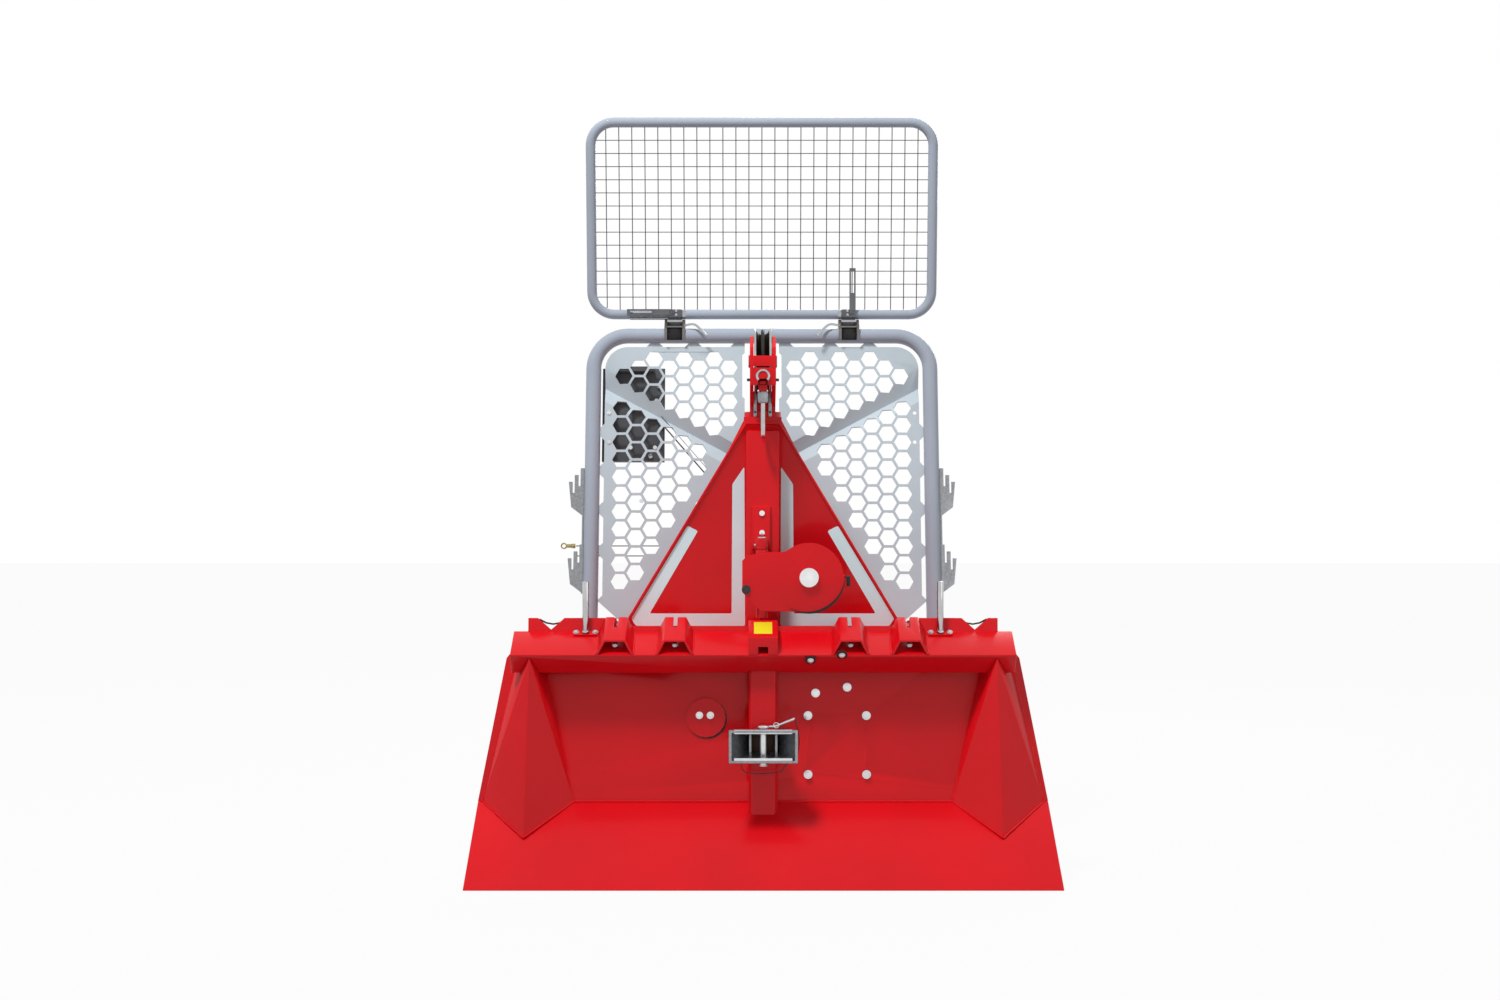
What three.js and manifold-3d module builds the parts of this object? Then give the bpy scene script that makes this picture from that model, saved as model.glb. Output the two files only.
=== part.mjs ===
// A tractor forestry winch: a dozer blade, a chain-driven drum behind it, an A-frame with a swinging side
// pulley and a swivelling head, and two guards. Millimetres, +Z up, the blade faces -Y, the tractor is at +Y.
import * as THREE from "three";
import { mergeVertices } from "three/addons/utils/BufferGeometryUtils.js";
import { ConvexGeometry } from "three/addons/geometries/ConvexGeometry.js";
import Module from "manifold-3d";

const wasm = await Module();
wasm.setup();

// Fits shared by the whole winch
const gap = 0.3;
const overrun = 4;
const weldTolerance = 1e-3;
const creaseTolerance = 4e-3;
const postOverlap = 16;

// Blade: its side profile runs from the ground edge to the crease and up to the top of the plate
const edgeY = -320;
const creaseY = -117;
const creaseZ = 224;
const plateTopY = -83;
const plateTopZ = 757;
const plateStepX = 430;
const plateMiddleZ = 733.5;
const edgeWidth = 1700;
const creaseWidth = 1665;
const shoulderWidth = 1504;
const shoulderZ = 640;
const stripWidth = 1378;
const stripZ = 720;
const toeThickness = 12;
const plateThickness = 8;
const notchX = 622;
const notchWidth = 78;
const notchDepth = 34;
const coverX = -167;
const coverZ = 467;
const coverRadius = 58;
const coverHeight = 8;

// Hood over the blade, bent from sheet
const hoodWidth = 1462;
const hoodBackZ = 719;
const hoodFrontY = -194;
const hoodFrontZ = 656;
const lipY = -150;
const lipZ = 601;
const hoodThickness = 6;

// Corner gussets, folded plates with a ridge in front
const gussetRidgeX = 675;
const gussetTipX = 691;
const gussetInnerTopX = 643;
const gussetOuterTopX = 727;
const gussetInnerX = 552;
const gussetOuterX = 819;
const gussetRidgeY = -189;
const gussetRidgeZ = 645;
const gussetTopZ = 640;
const gussetTipZ = 128;
const gussetWall = 6;

// Hitch post, jaw and pin
const postWidth = 84;
const postY = -150;
const postTopZ = 640;
const postChamfer = 9;
const jawZ = 398;
const jawMouthWidth = 197;
const jawMouthHeight = 95;
const jawThroatWidth = 104;
const jawThroatHeight = 70;
const jawDepth = 96;
const jawWall = 9;
const jawBackDepth = 22;
const hitchPinRadius = 11;
const hitchPinBottomZ = 338;
const hitchPinTopZ = 462;
const hitchPinSetback = 54;
const pinHandleLength = 62;
const pinHandleRadius = 5;
const pinHeadRadius = 17;
const pinHeadHeight = 10;

// Keepers on the hood
const keeperPlaces = [-429, -256, 253, 424];
const keeperFootWidth = 107;
const keeperTopWidth = 62;
const keeperHeight = 43;
const keeperThickness = 6;
const keeperBackSpace = 3;
const keeperSlotWidth = 11;
const keeperSlotLength = 45;
const centreWidth = 86;
const centreFrontHeight = 51;
const centreBackHeight = 34;
const centreWall = 5;
const archWidth = 28;
const archHeight = 22;

// Bright rods on the hood
const rodX = 519;
const rodRadius = 9.8;
const rodTopZ = 866;
const rodBackSpace = 14;
const rodFootWidth = 72;
const rodFootDepth = 26;
const rodFootHeight = 9;

// Housing of the winch between the blade and the tractor side
const sideX = 490;
const sideThickness = 8;
const bottomZ = 90;
const bottomThickness = 10;
const deckZ = 714;
const deckThickness = 10;
const deckBackY = 300;
const rearY = 330;
const rearThickness = 8;
const beamHalfWidth = 600;
const beamBackY = 360;
const beamZ = 620;
const beamSize = 60;
const beamWall = 5;
const ropeHole = 60;

// Lower link lugs and pins, category 2
const linkX = 412;
const linkGap = 56;
const lugThickness = 12;
const lugDepth = 86;
const lugZ = 260;
const lugHeight = 150;
const linkPinRadius = 14;
const linkPinY = 388;
const linkPinOverhang = 14;

// Parking legs in sleeves on the rear plate
const legX = 300;
const legSize = 50;
const legTopZ = 480;
const legPlay = 0.6;
const sleeveWall = 6;
const sleeveZ = 120;
const sleeveHeight = 210;
const footSize = 92;
const footThickness = 9;

// Drum, its shaft and its bearings; the drum turns about an axis along Y
const drumX = 217;
const drumZ = 387;
const drumCoreRadius = 100;
const flangeRadius = 250;
const flangeThickness = 8;
const brakeDrumY = 0;
const drumFaceY = 30;
const drumWidth = 180;
const shaftRadius = 25;
const shaftFrontY = -66;
const shaftEndSpace = 4;
const ropeRadius = 5.5;
const bearingPattern = 171;
const bearingSize = 205;
const bearingFlange = 14;
const bearingHubRadius = 60;
const clutchRadius = 120;
const bearingHubLength = 26;
const bearingBoltRadius = 8;
const boltHeadRadius = 12;
const boltHeadHeight = 9;
const brakeBandWall = 6;
const brakeBandTurn = 300;
const brakeBandGap = 0.6;

// Chain drive
const sprocketY = 262;
const sprocketThickness = 10;
const bigTeeth = 44;
const smallTeeth = 12;
const toothPitch = 23;
const toothHeight = 8;
const toothRootShare = 0.35;
const toothRiseShare = 0.55;
const toothTipShare = 0.8;
const chainThickness = 12;
const chainGap = 0.6;
const inputShaftRadius = 17.5;
const inputEndY = 535;
const inputFrontY = -70;
const inputHubRadius = 30;
const guardTubeRadius = 78;
const guardTubeWall = 4;
const guardTubeEndY = 560;

// Control levers on the rear plate
const leverXs = [30, 96];
const leverPivotY = 372;
const leverPivotZ = 560;
const leverWidth = 14;
const leverHubRadius = 18;
const leverPinRadius = 8;
const leverLength = 150;
const leverLean = 34;
const leverGripRadius = 9;
const leverEarGap = 20;
const leverEarThickness = 6;

// A-frame: mast in front, skin, two tubes behind it and the collar that carries the head
const mastWidth = 97;
const mastFrontY = 3;
const mastBackY = 62.7;
const mastTopZ = 1309;
const mastWall = 6;
const skinY = 63;
const skinThickness = 4;
const skinRim = 7;
const skinRimDepth = 8;
const skinHalfBase = 404;
const skinHalfTop = 52;
const skinShoulderZ = 751;
const skinTopZ = 1338;
const frameTubeWidth = 50;
const frameTubeDepth = 40;
const frameTubeBaseX = 350;
const frameTubeTopX = 32;
const collarWidth = 114;
const collarZ = 1333;
const collarHeight = 20.5;
const collarBore = 24;

// Tower of two stays with the top link pin
const towerX = 48;
const towerThickness = 12;
const towerTopBackY = 178;
const towerLinkZ = 930;
const towerLinkY = 330;
const towerNeckZ = 1180;
const towerNeckY = 116;
const towerFootFrontY = 303;
const towerElbowZ = 880;
const towerTieZ = 760;
const towerTieHeight = 90;
const towerTieThickness = 8;
const topPinRadius = 12.5;
const towerEyeReach = 31.25;
const topPinOverhang = 22;

// Swing bracket with the side pulley, on an upright pin in front of the mast
const swingX = -3;
const swingY = -62;
const swingPinRadius = 9;
const swingPinGap = 0.4;
const sleeveRadius = 18;
const sleeveTopZ = 957;
const swingArmTopZ = 990;
const swingArmWidth = 36;
const mountPlateX = -32;
const mountPlateWidth = 54;
const mountPlateTopZ = 1083;
const mountPlateThickness = 12;
const cheekY = -88;
const cheekThickness = 6;
const cheekLeft = -61;
const cheekLeftTopZ = 941;
const cheekLeftBottomZ = 817;
const cheekTopZ = 951;
const cheekChamfer = 16;
const cheekTopX = 56;
const cheekRiseX = 20;
const cheekBottomX = -8;
const cheekTangentShare = 0.9;
const sidePulleyX = 135;
const sidePulleyZ = 876;
const cheekRadius = 102;
const sidePulleyRadius = 90;
const sidePulleyWidth = 26;
const sidePulleyGap = 3;
const sidePulleyGroove = 16;
const rearCheekRadius = 58;
const sideAxleRadius = 12;
const sideAxleHeadRadius = 28;
const sideAxleHeadHeight = 8;
const ropeGuardRadius = 100;
const ropeGuardThickness = 5;
const ropeGuardStart = -150;
const ropeGuardEnd = 4;

// Head on the collar; it swivels about the rope that rises through it
const headY = 125;
const headBaseRadius = 56;
const headBaseHeight = 16;
const headPlateGap = 55;
const headPlateThickness = 11;
const headFootShare = 0.9;
const headWaistShare = 0.25;
const headMiddleShare = 0.1;
const headShoulderShare = 0.8;
const headShoulderRise = 0.7;
const headWebBack = 88;
const headWebThickness = 8;
const sheaveZ = 1518;
const sheaveRadius = 99;
const sheaveRopeRadius = 90;
const sheaveWidth = 51;
const sheaveRimWidth = 6;
const sheaveAxleRadius = 14;
const axleHeadRadius = 20;
const axleHeadHeight = 2;
const headEarZ = 1588;
const headBlockTopZ = 1493;
const headBlockBottomZ = 1443;
const headBlockFrontY = -80;
const headBlockDepth = 50;
const headBridgeBottomZ = 1497;
const headBridgeTopZ = 1528;
const headBridgeThickness = 8;
const headBridgeWidth = 68;
const headSpigotRadius = 22;
const headSpigotLength = 19;
const headBore = 9;
const eyeZ = 1468;
const eyeRadius = 20;
const eyeHeight = 5;
const yokeTopZ = 1459;
const yokeBottomZ = 1423;
const yokeWidth = 27;
const yokeSpace = 3;
const ferruleRadius = 16;
const ferruleBottomZ = 1390;
const hookBottomZ = 1285;
const hookWidth = 15;
const hookRadius = 27;
const hookThickness = 12;

// Lower guard: leans away from the blade; it is drawn upright and then leaned about its foot line
const guardHalfWidth = 563.5;
const guardFootY = 326;
const guardFootZ = 699;
const guardTopY = 513;
const guardTopZ = 1655;
const guardTubeOuter = 24.15;
const guardCorner = 134;
const guardFootHalf = 30;
const panelThickness = 4;
const panelChamfer = 70;
const panelBottom = 24;
const panelNotchWidth = 126;
const panelNotchZ = 1294;
const panelWindowWidth = 230;
const panelWindowZ = 1040;
const hexRowPitch = 96;
const hexColumnPitch = 85;
const hexWeb = 13;
const panelMargin = 8;
const grooveDepth = 25;
const grooveNearX = 74;
const grooveFarX = 500;
const grooveTopNear = 586;
const grooveTopFar = 842;
const grooveFoldNear = 547;
const grooveFoldFar = 779;
const grooveBottomNear = 505;
const grooveBottomFar = 731;

// Comb brackets on the sides of the lower guard
const combThickness = 6;
const combUpper = 358;
const combLower = 112;
const combHeight = 157;
const combFinger = 12.5;
const combSlotWidth = 6;
const combSlotDepth = 36;
const combStep = 22;
const combHeelReach = 41;
const combHeelHeight = 31;

// Upper guard: leans back towards the blade and folds down to the tractor side
const upperFootY = 532;
const upperFootZ = 1703;
const upperHeight = 611;
const upperTubeRadius = 15.9;
const upperCorner = 90;
const upperLean = 7.6;
const meshWire = 4;
const meshPitch = 124.8;
const meshColumns = 9;
const meshRows = 5;

// Hinge units between the guards, and their latch levers
const hingeX = 280;
const hingeY = 545;
const hingeZ = 1672;
const hingeWidth = 66;
const hingePlate = 8.5;
const hingePinRadius = 8;
const hingePlay = 2;
const hingeEyeReach = 12;
const hingeBlockFrontY = 512;
const hingeBlockBackY = 556;
const hingeBlockTopZ = 1718;
const hingeBlockZ = 1692;
const clevisFrontY = 480;
const clevisBottomZ = 1619;
const clevisShoulderZ = 1652;
const clevisTopZ = 1685;
const latchPivotSpread = 12;
const latchZ = 1708;
const latchLength = 142;
const latchHeight = 20;
const latchThickness = 8;
const latchSlot = 70;
const latchPinRadius = 5;

// Sheet holder behind the hexagon panel
const holderLeft = -512;
const holderRight = -312;
const holderBottom = 545;
const holderTop = 850;
const holderFront = 31;
const holderDepth = 22;
const holderWall = 3;
const holderRibX = -412;
const holderRibWidth = 130;
const holderRibHeight = 16;

// Faceting
const roundSides = 16;
const smallSides = 12;
const hexagonSides = 6;
const ropeSides = 8;
const bendSteps = 4;

const paint = { roughness: 0.32, metalness: 0 };
const red = new THREE.MeshStandardMaterial({ color: 0xb3121c, ...paint, flatShading: true });
const greyPaint = new THREE.MeshStandardMaterial({ color: 0x7f7d88, ...paint, flatShading: true });
const black = new THREE.MeshStandardMaterial({ color: 0x191a1c, roughness: 0.6, flatShading: true });
const zinc = new THREE.MeshStandardMaterial(
  { color: 0xb9bcc0, roughness: 0.35, metalness: 1, flatShading: true },
);
const steel = new THREE.MeshStandardMaterial(
  { color: 0x8d9094, roughness: 0.45, metalness: 1, flatShading: true },
);
const rope = new THREE.MeshStandardMaterial(
  { color: 0x777a7d, roughness: 0.55, metalness: 1, flatShading: true },
);
const plastic = new THREE.MeshStandardMaterial({ color: 0x24262a, roughness: 0.7, flatShading: true });

// All pieces are placed with y = 0 near the mast; the group then centres the part on its own box.
const winch = new THREE.Group();
winch.position.y = -(edgeY + guardTubeEndY) / 2;

function solid(shape) {
  if (!shape.isBufferGeometry) return shape;
  const bare = shape.clone();
  bare.deleteAttribute("normal");
  bare.deleteAttribute("uv");
  const merged = mergeVertices(bare, weldTolerance);
  const vertProperties = new Float32Array(merged.attributes.position.array);
  const triVerts = new Uint32Array(merged.index.array);
  const made = new wasm.Manifold(new wasm.Mesh({ numProp: 3, vertProperties, triVerts }));
  if (made.volume() >= 0) return made;
  for (let i = 0; i < triVerts.length; i += 3) {
    [triVerts[i + 1], triVerts[i + 2]] = [triVerts[i + 2], triVerts[i + 1]];
  }
  return new wasm.Manifold(new wasm.Mesh({ numProp: 3, vertProperties, triVerts }));
}

function join(...shapes) {
  return shapes.map(solid).reduce((a, b) => a.add(b));
}

function cut(shape, ...tools) {
  return tools.map(solid).reduce((a, b) => a.subtract(b), solid(shape));
}

function common(a, b) {
  return solid(a).intersect(solid(b));
}

function piece(name, shape, material) {
  const made = solid(shape).getMesh();
  const geometry = new THREE.BufferGeometry();
  geometry.setAttribute("position", new THREE.BufferAttribute(new Float32Array(made.vertProperties), 3));
  geometry.setIndex(new THREE.BufferAttribute(new Uint32Array(made.triVerts), 1));
  geometry.computeVertexNormals();
  const mesh = new THREE.Mesh(geometry, material);
  mesh.name = name;
  winch.add(mesh);
}

function block(x0, x1, y0, y1, z0, z1) {
  const box = new THREE.BoxGeometry(x1 - x0, y1 - y0, z1 - z0);
  return box.translate((x0 + x1) / 2, (y0 + y1) / 2, (z0 + z1) / 2);
}

function rod(from, to, radius, sides = smallSides) {
  const a = new THREE.Vector3(...from);
  const b = new THREE.Vector3(...to);
  const along = b.clone().sub(a);
  const turn = new THREE.Quaternion().setFromUnitVectors(
    new THREE.Vector3(0, 1, 0),
    along.clone().normalize(),
  );
  const cylinder = new THREE.CylinderGeometry(radius, radius, along.length(), sides);
  const middle = a.add(b).divideScalar(2);
  return cylinder.applyQuaternion(turn).translate(middle.x, middle.y, middle.z);
}

const rodAcross = (x0, x1, y, z, radius, sides) => rod([x0, y, z], [x1, y, z], radius, sides);
const rodY = (x, y0, y1, z, radius, sides) => rod([x, y0, z], [x, y1, z], radius, sides);
const rodZ = (x, y, z0, z1, radius, sides) => rod([x, y, z0], [x, y, z1], radius, sides);

function hull(points) {
  return new ConvexGeometry(points.map((p) => new THREE.Vector3(...p)));
}

function outline(points) {
  return new THREE.Shape(points.map((p) => new THREE.Vector2(...p)));
}

// An outline of [x, z] points, from y0 to y1
function plateXZ(points, y0, y1, holes = []) {
  const shape = outline(points);
  shape.holes = holes.map(outline);
  const flat = new THREE.ExtrudeGeometry(shape, { depth: y1 - y0, bevelEnabled: false });
  return flat.rotateX(Math.PI / 2).translate(0, y1, 0);
}

// An outline of [y, z] points, from x0 to x1
function plateYZ(points, x0, x1) {
  const flat = new THREE.ExtrudeGeometry(outline(points), { depth: x1 - x0, bevelEnabled: false });
  const cycle = new THREE.Matrix4().set(0, 0, 1, x0, 1, 0, 0, 0, 0, 1, 0, 0, 0, 0, 0, 1);
  return flat.applyMatrix4(cycle);
}

// An outline of [x, y] points, from z0 to z1
function plateXY(points, z0, z1) {
  const flat = new THREE.ExtrudeGeometry(outline(points), { depth: z1 - z0, bevelEnabled: false });
  return flat.translate(0, 0, z0);
}

// A profile of [radius, y] points turned about an axis along Y
function turned(profile, x, z, sides = roundSides) {
  const lathe = new THREE.LatheGeometry(outline(profile).getPoints(), sides);
  return lathe.translate(x, 0, z);
}

function circle(x, z, radius, sides = roundSides, from = 0, to = 2 * Math.PI) {
  const whole = to - from >= 2 * Math.PI;
  const count = whole ? sides : sides + 1;
  return Array.from({ length: count }, (_, i) => {
    const angle = from + ((to - from) * i) / sides;
    return [x + radius * Math.cos(angle), z + radius * Math.sin(angle)];
  });
}

// A sheet bent along [across, up] points, with its wall to the right of the way that they run
function bentSheet(points, wall) {
  const sides = points.slice(1).map((p, i) => {
    const length = Math.hypot(p[0] - points[i][0], p[1] - points[i][1]);
    return [(p[1] - points[i][1]) / length, -(p[0] - points[i][0]) / length];
  });
  const inner = points.map((p, i) => {
    const a = sides[Math.max(i - 1, 0)];
    const b = sides[Math.min(i, sides.length - 1)];
    const share = wall / (1 + a[0] * b[0] + a[1] * b[1]);
    return [p[0] + (a[0] + b[0]) * share, p[1] + (a[1] + b[1]) * share];
  });
  return [...points, ...inner.reverse()];
}

// A curve that passes through its points, with a step at each
class Route extends THREE.Curve {
  constructor(points) {
    super();
    this.points = points.map((p) => new THREE.Vector3(...p));
  }
  getPoint(t) {
    const at = t * (this.points.length - 1);
    const i = Math.min(Math.floor(at), this.points.length - 2);
    return this.points[i].clone().lerp(this.points[i + 1], at - i);
  }
  getSpacedPoints() {
    return this.points;
  }
  getTangentAt(t) {
    const last = this.points.length - 1;
    const i = Math.round(t * last);
    const step = (j) => this.points[j + 1].clone().sub(this.points[j]).normalize();
    return step(Math.max(i - 1, 0)).add(step(Math.min(i, last - 1))).normalize();
  }
}

function tube(points, radius, sides = smallSides) {
  const section = outline(circle(0, 0, radius, sides));
  const route = new Route(points);
  const steps = points.length - 1;
  return new THREE.ExtrudeGeometry(section, { steps, extrudePath: route, bevelEnabled: false });
}

const leftAndRight = (make) => [
  ["left", -1],
  ["right", 1],
].forEach(([side, sign]) => make(side, sign));

const mirrored = (points) => points.flatMap(([x, y, z]) => [[x, y, z], [-x, y, z]]);
const seat = (radius, sides = smallSides) => (radius + gap) / Math.cos(Math.PI / sides);
const toeY = (z) => edgeY + ((creaseY - edgeY) * z) / creaseZ;
const plateSlope = (plateTopY - creaseY) / (plateTopZ - creaseZ);
const plateFront = (z) => creaseY + plateSlope * (z - creaseZ);
const plateBack = (z) => plateFront(z) + plateThickness;
const hoodBackY = plateFront(hoodBackZ) - gap;
const hoodSlope = (hoodBackZ - hoodFrontZ) / (hoodBackY - hoodFrontY);
const hoodTop = (y) => hoodFrontZ + hoodSlope * (y - hoodFrontY);
const deckTop = deckZ + deckThickness;
const rearBack = rearY + rearThickness;

const toeLevel = (toeThickness * Math.hypot(creaseY - edgeY, creaseZ)) / creaseZ;
const housingFront = creaseY + toeLevel + gap;

// Toe plate: flat bar along the ground edge up to the crease
function toePlate() {
  const level = toeLevel;
  const top = creaseZ - gap;
  return hull(
    mirrored([
      [edgeWidth / 2, edgeY, 0],
      [edgeWidth / 2, edgeY + level, 0],
      [creaseWidth / 2, toeY(top), top],
      [creaseWidth / 2, toeY(top) + level, top],
    ]),
  );
}

// Back plate with its two notches, the input shaft's cover and boss, and the holes for the bearing's bolts
function backPlate() {
  const half = [
    [creaseWidth / 2, creaseZ],
    [shoulderWidth / 2, shoulderZ],
    [stripWidth / 2, stripZ],
    [stripWidth / 2, plateTopZ],
    [notchX + notchWidth / 2, plateTopZ],
    [notchX, plateTopZ - notchDepth],
    [notchX - notchWidth / 2, plateTopZ],
    [plateStepX, plateTopZ],
    [plateStepX, plateMiddleZ],
  ];
  const other = half.map(([x, z]) => [-x, z]).reverse();
  const holes = bearingBolts().map(([x, z]) => circle(x, z, seat(bearingBoltRadius)));
  const flat = plateXZ([...half, ...other], 0, plateThickness, holes);
  const tilt = new THREE.Matrix4();
  tilt.set(1, 0, 0, 0, 0, 1, plateSlope, plateFront(0), 0, 0, 1, 0, 0, 0, 0, 1);
  const front = plateFront(coverZ) - coverHeight;
  const cover = rodY(coverX, front, plateBack(coverZ), coverZ, coverRadius, roundSides);
  const boss = rodY(coverX, plateFront(coverZ), inputFrontY + inputHubRadius, coverZ, inputHubRadius);
  const bore = rodY(
    coverX, inputFrontY - overrun, inputFrontY + 2 * inputHubRadius, coverZ, seat(inputShaftRadius),
  );
  return cut(join(flat.applyMatrix4(tilt), cover, boss), bore);
}

function bearingBolts() {
  const reach = bearingPattern / 2;
  const signs = [-1, 1];
  return signs.flatMap((a) => signs.map((b) => [drumX + a * reach, drumZ + b * reach]));
}

function gussetHull(grow) {
  const behind = (z) => plateFront(z) - gap;
  const ridge = [
    [gussetRidgeX, gussetRidgeY - grow, gussetRidgeZ + grow],
    [gussetTipX, toeY(gussetTipZ) - 2 * gap - grow, gussetTipZ],
  ];
  const foot = [
    [gussetInnerX - grow, behind(creaseZ) - gap, creaseZ],
    [gussetOuterX + grow, behind(creaseZ) - gap, creaseZ],
    [gussetInnerTopX - grow, behind(gussetTopZ), gussetTopZ + grow],
    [gussetOuterTopX + grow, behind(gussetTopZ), gussetTopZ + grow],
  ];
  return hull([...ridge, ...foot]);
}

function gusset() {
  const hollow = gussetHull(0).translate(0, gussetWall, 0);
  return cut(gussetHull(0), hollow);
}

const mirror = (geometry) => {
  const flipped = geometry.clone().applyMatrix4(new THREE.Matrix4().makeScale(-1, 1, 1));
  return flipped;
};

function hood() {
  const profile = [
    [hoodBackY, hoodBackZ],
    [hoodFrontY, hoodFrontZ],
    [lipY, lipZ],
  ];
  const sheet = plateYZ(bentSheet(profile.reverse(), hoodThickness), -hoodWidth / 2, hoodWidth / 2);
  const postSpace = block(
    -postWidth / 2 - gap, postWidth / 2 + gap,
    postY - gap - overrun, creaseY, lipZ - overrun, postTopZ + gap,
  );
  const plateSpace = plateYZ(
    [
      [plateFront(0) - gap, 0],
      [plateTopY + plateThickness, 0],
      [plateTopY + plateThickness, plateTopZ],
      [plateTopY - gap, plateTopZ],
    ],
    -hoodWidth, hoodWidth,
  );
  return cut(sheet, gussetHull(2 * gap), mirror(gussetHull(2 * gap)), postSpace, plateSpace);
}

// Square post in front of the blade, cut to the two plates that it stands against
function hitchPost() {
  const half = postWidth / 2;
  const plan = [
    [-half, creaseY + postOverlap], [half, creaseY + postOverlap],
    [half, postY + postChamfer], [half - postChamfer, postY],
    [postChamfer - half, postY], [-half, postY + postChamfer],
  ].reverse();
  const foot = (creaseZ * (postY - edgeY)) / (creaseY - edgeY);
  const side = [
    [postY - overrun, foot + gap * 2],
    [postY, foot + gap * 2],
    [creaseY - gap, creaseZ + gap],
    [plateFront(postTopZ) - gap, postTopZ],
    [postY - overrun, postTopZ],
  ];
  return common(plateXY(plan, 0, postTopZ + overrun), plateYZ(side, -postWidth, postWidth));
}

// Funnel of the hitch: a back plate against the post and four flared walls
function funnel(inset) {
  const back = postY - gap - jawBackDepth;
  const front = postY - gap - jawDepth;
  const ring = (y, width, height) =>
    [-1, 1].flatMap((a) => [-1, 1].map((b) => [(a * width) / 2, y, jawZ + (b * height) / 2]));
  const throat = ring(back - inset, jawThroatWidth - 2 * inset, jawThroatHeight - 2 * inset);
  const mouth = ring(front - inset, jawMouthWidth - 2 * inset, jawMouthHeight - 2 * inset);
  return hull([...throat, ...mouth]);
}

function hitchJaw() {
  const backPlate = block(
    -jawThroatWidth / 2, jawThroatWidth / 2, postY - gap - jawBackDepth, postY - gap,
    jawZ - jawThroatHeight / 2, jawZ + jawThroatHeight / 2,
  );
  const pinY = postY - hitchPinSetback;
  const pinSpace = rodZ(0, pinY, hitchPinBottomZ - overrun, hitchPinTopZ, seat(hitchPinRadius));
  return cut(join(backPlate, funnel(0)), funnel(jawWall), pinSpace);
}

function hitchPin() {
  const pinY = postY - hitchPinSetback;
  const headBottom = jawZ + jawMouthHeight / 2 + gap;
  return join(
    rodZ(0, pinY, hitchPinBottomZ, hitchPinTopZ, hitchPinRadius),
    rodZ(0, pinY, headBottom, headBottom + pinHeadHeight, pinHeadRadius),
    rodAcross(0, pinHandleLength, pinY, hitchPinTopZ - pinHandleRadius, pinHandleRadius, ropeSides),
  );
}

// Keeper: a sheet bent over a hook's chain, following the slope of the hood
function onHood(geometry, x) {
  const slope = new THREE.Matrix4();
  const seatZ = hoodTop(0) + 2 * gap;
  slope.set(1, 0, 0, x, 0, 1, 0, 0, 0, hoodSlope, 1, seatZ, 0, 0, 0, 1);
  return geometry.applyMatrix4(slope);
}

function keeper(x) {
  const foot = keeperFootWidth / 2;
  const top = keeperTopWidth / 2;
  const line = [[-foot, 0], [-top, keeperHeight], [top, keeperHeight], [foot, 0]];
  const back = hoodBackY - keeperBackSpace;
  const sheet = plateXZ(bentSheet(line, keeperThickness), hoodFrontY, back);
  const slot = block(
    -keeperSlotWidth / 2, keeperSlotWidth / 2, back - keeperSlotLength, back + overrun,
    keeperHeight / 2, keeperHeight + overrun,
  );
  const level = block(-foot, foot, hoodFrontY, back, 0, keeperHeight);
  return common(cut(onHood(sheet, x), onHood(slot, x)), onHood(level, x));
}

function centreKeeper() {
  const half = centreWidth / 2;
  const back = hoodBackY - keeperBackSpace;
  const shell = (inset, drop) => onHood(hull(mirrored([
    [half - inset, hoodFrontY + inset, -drop],
    [half - inset, hoodFrontY + inset, centreFrontHeight - inset],
    [half - inset, back - inset, -drop],
    [half - inset, back - inset, centreBackHeight - inset],
  ])), 0);
  const arch = block(
    -archWidth / 2, archWidth / 2, hoodFrontY - overrun, hoodFrontY + 2 * centreWall, -overrun,
    archHeight,
  );
  return cut(shell(0, 0), shell(centreWall, overrun), onHood(arch, 0));
}

function hoodRod(sign) {
  const y = hoodBackY - rodBackSpace;
  const half = rodFootWidth / 2;
  const depth = rodFootDepth / 2;
  const foot = block(-half, half, y - depth, y + depth, 0, rodFootHeight);
  return join(
    onHood(foot, sign * rodX), rodZ(sign * rodX, y, hoodTop(y + rodRadius) + gap, rodTopZ, rodRadius),
  );
}

piece("toe_plate", toePlate(), red);
piece("back_plate", backPlate(), red);
piece("hood", hood(), red);
piece("corner_gusset_right", gusset(), red);
piece("corner_gusset_left", gusset().mirror([1, 0, 0]), red);
piece("hitch_post", hitchPost(), red);
piece("hitch_jaw", hitchJaw(), zinc);
piece("hitch_pin", hitchPin(), zinc);
keeperPlaces.forEach((x, i) => piece("chain_keeper_" + (i + 1), keeper(x), red));
piece("centre_keeper", centreKeeper(), red);
leftAndRight((side, sign) => piece("hood_rod_" + side, hoodRod(sign), zinc));

// A-frame on the deck
const frameBase = deckTop + gap;
const frameTubeY = skinY + skinThickness + gap;
const frameTubeBack = frameTubeY + frameTubeDepth;

function deck() {
  const half = sideX + sideThickness;
  const slot = block(
    -ropeHole / 2, ropeHole / 2, headY - ropeHole / 2, headY + ropeHole / 2, deckZ - overrun,
    deckTop + overrun,
  );
  return cut(block(-half, half, plateBack(deckTop) + gap, deckBackY, deckZ, deckTop), slot);
}

function sidePlate(sign) {
  const top = deckZ - gap;
  const low = bottomZ + gap + bottomThickness;
  const meets = creaseZ + (housingFront - plateBack(creaseZ) - gap) / plateSlope;
  const points = [
    [housingFront, low], [rearY - gap, low], [rearY - gap, beamZ - gap], [deckBackY - gap, beamZ - gap],
    [deckBackY - gap, top], [plateBack(top) + gap, top], [housingFront, meets],
  ];
  const x = sign * (sideX + sideThickness / 2);
  return plateYZ(points, x - sideThickness / 2, x + sideThickness / 2);
}

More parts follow.
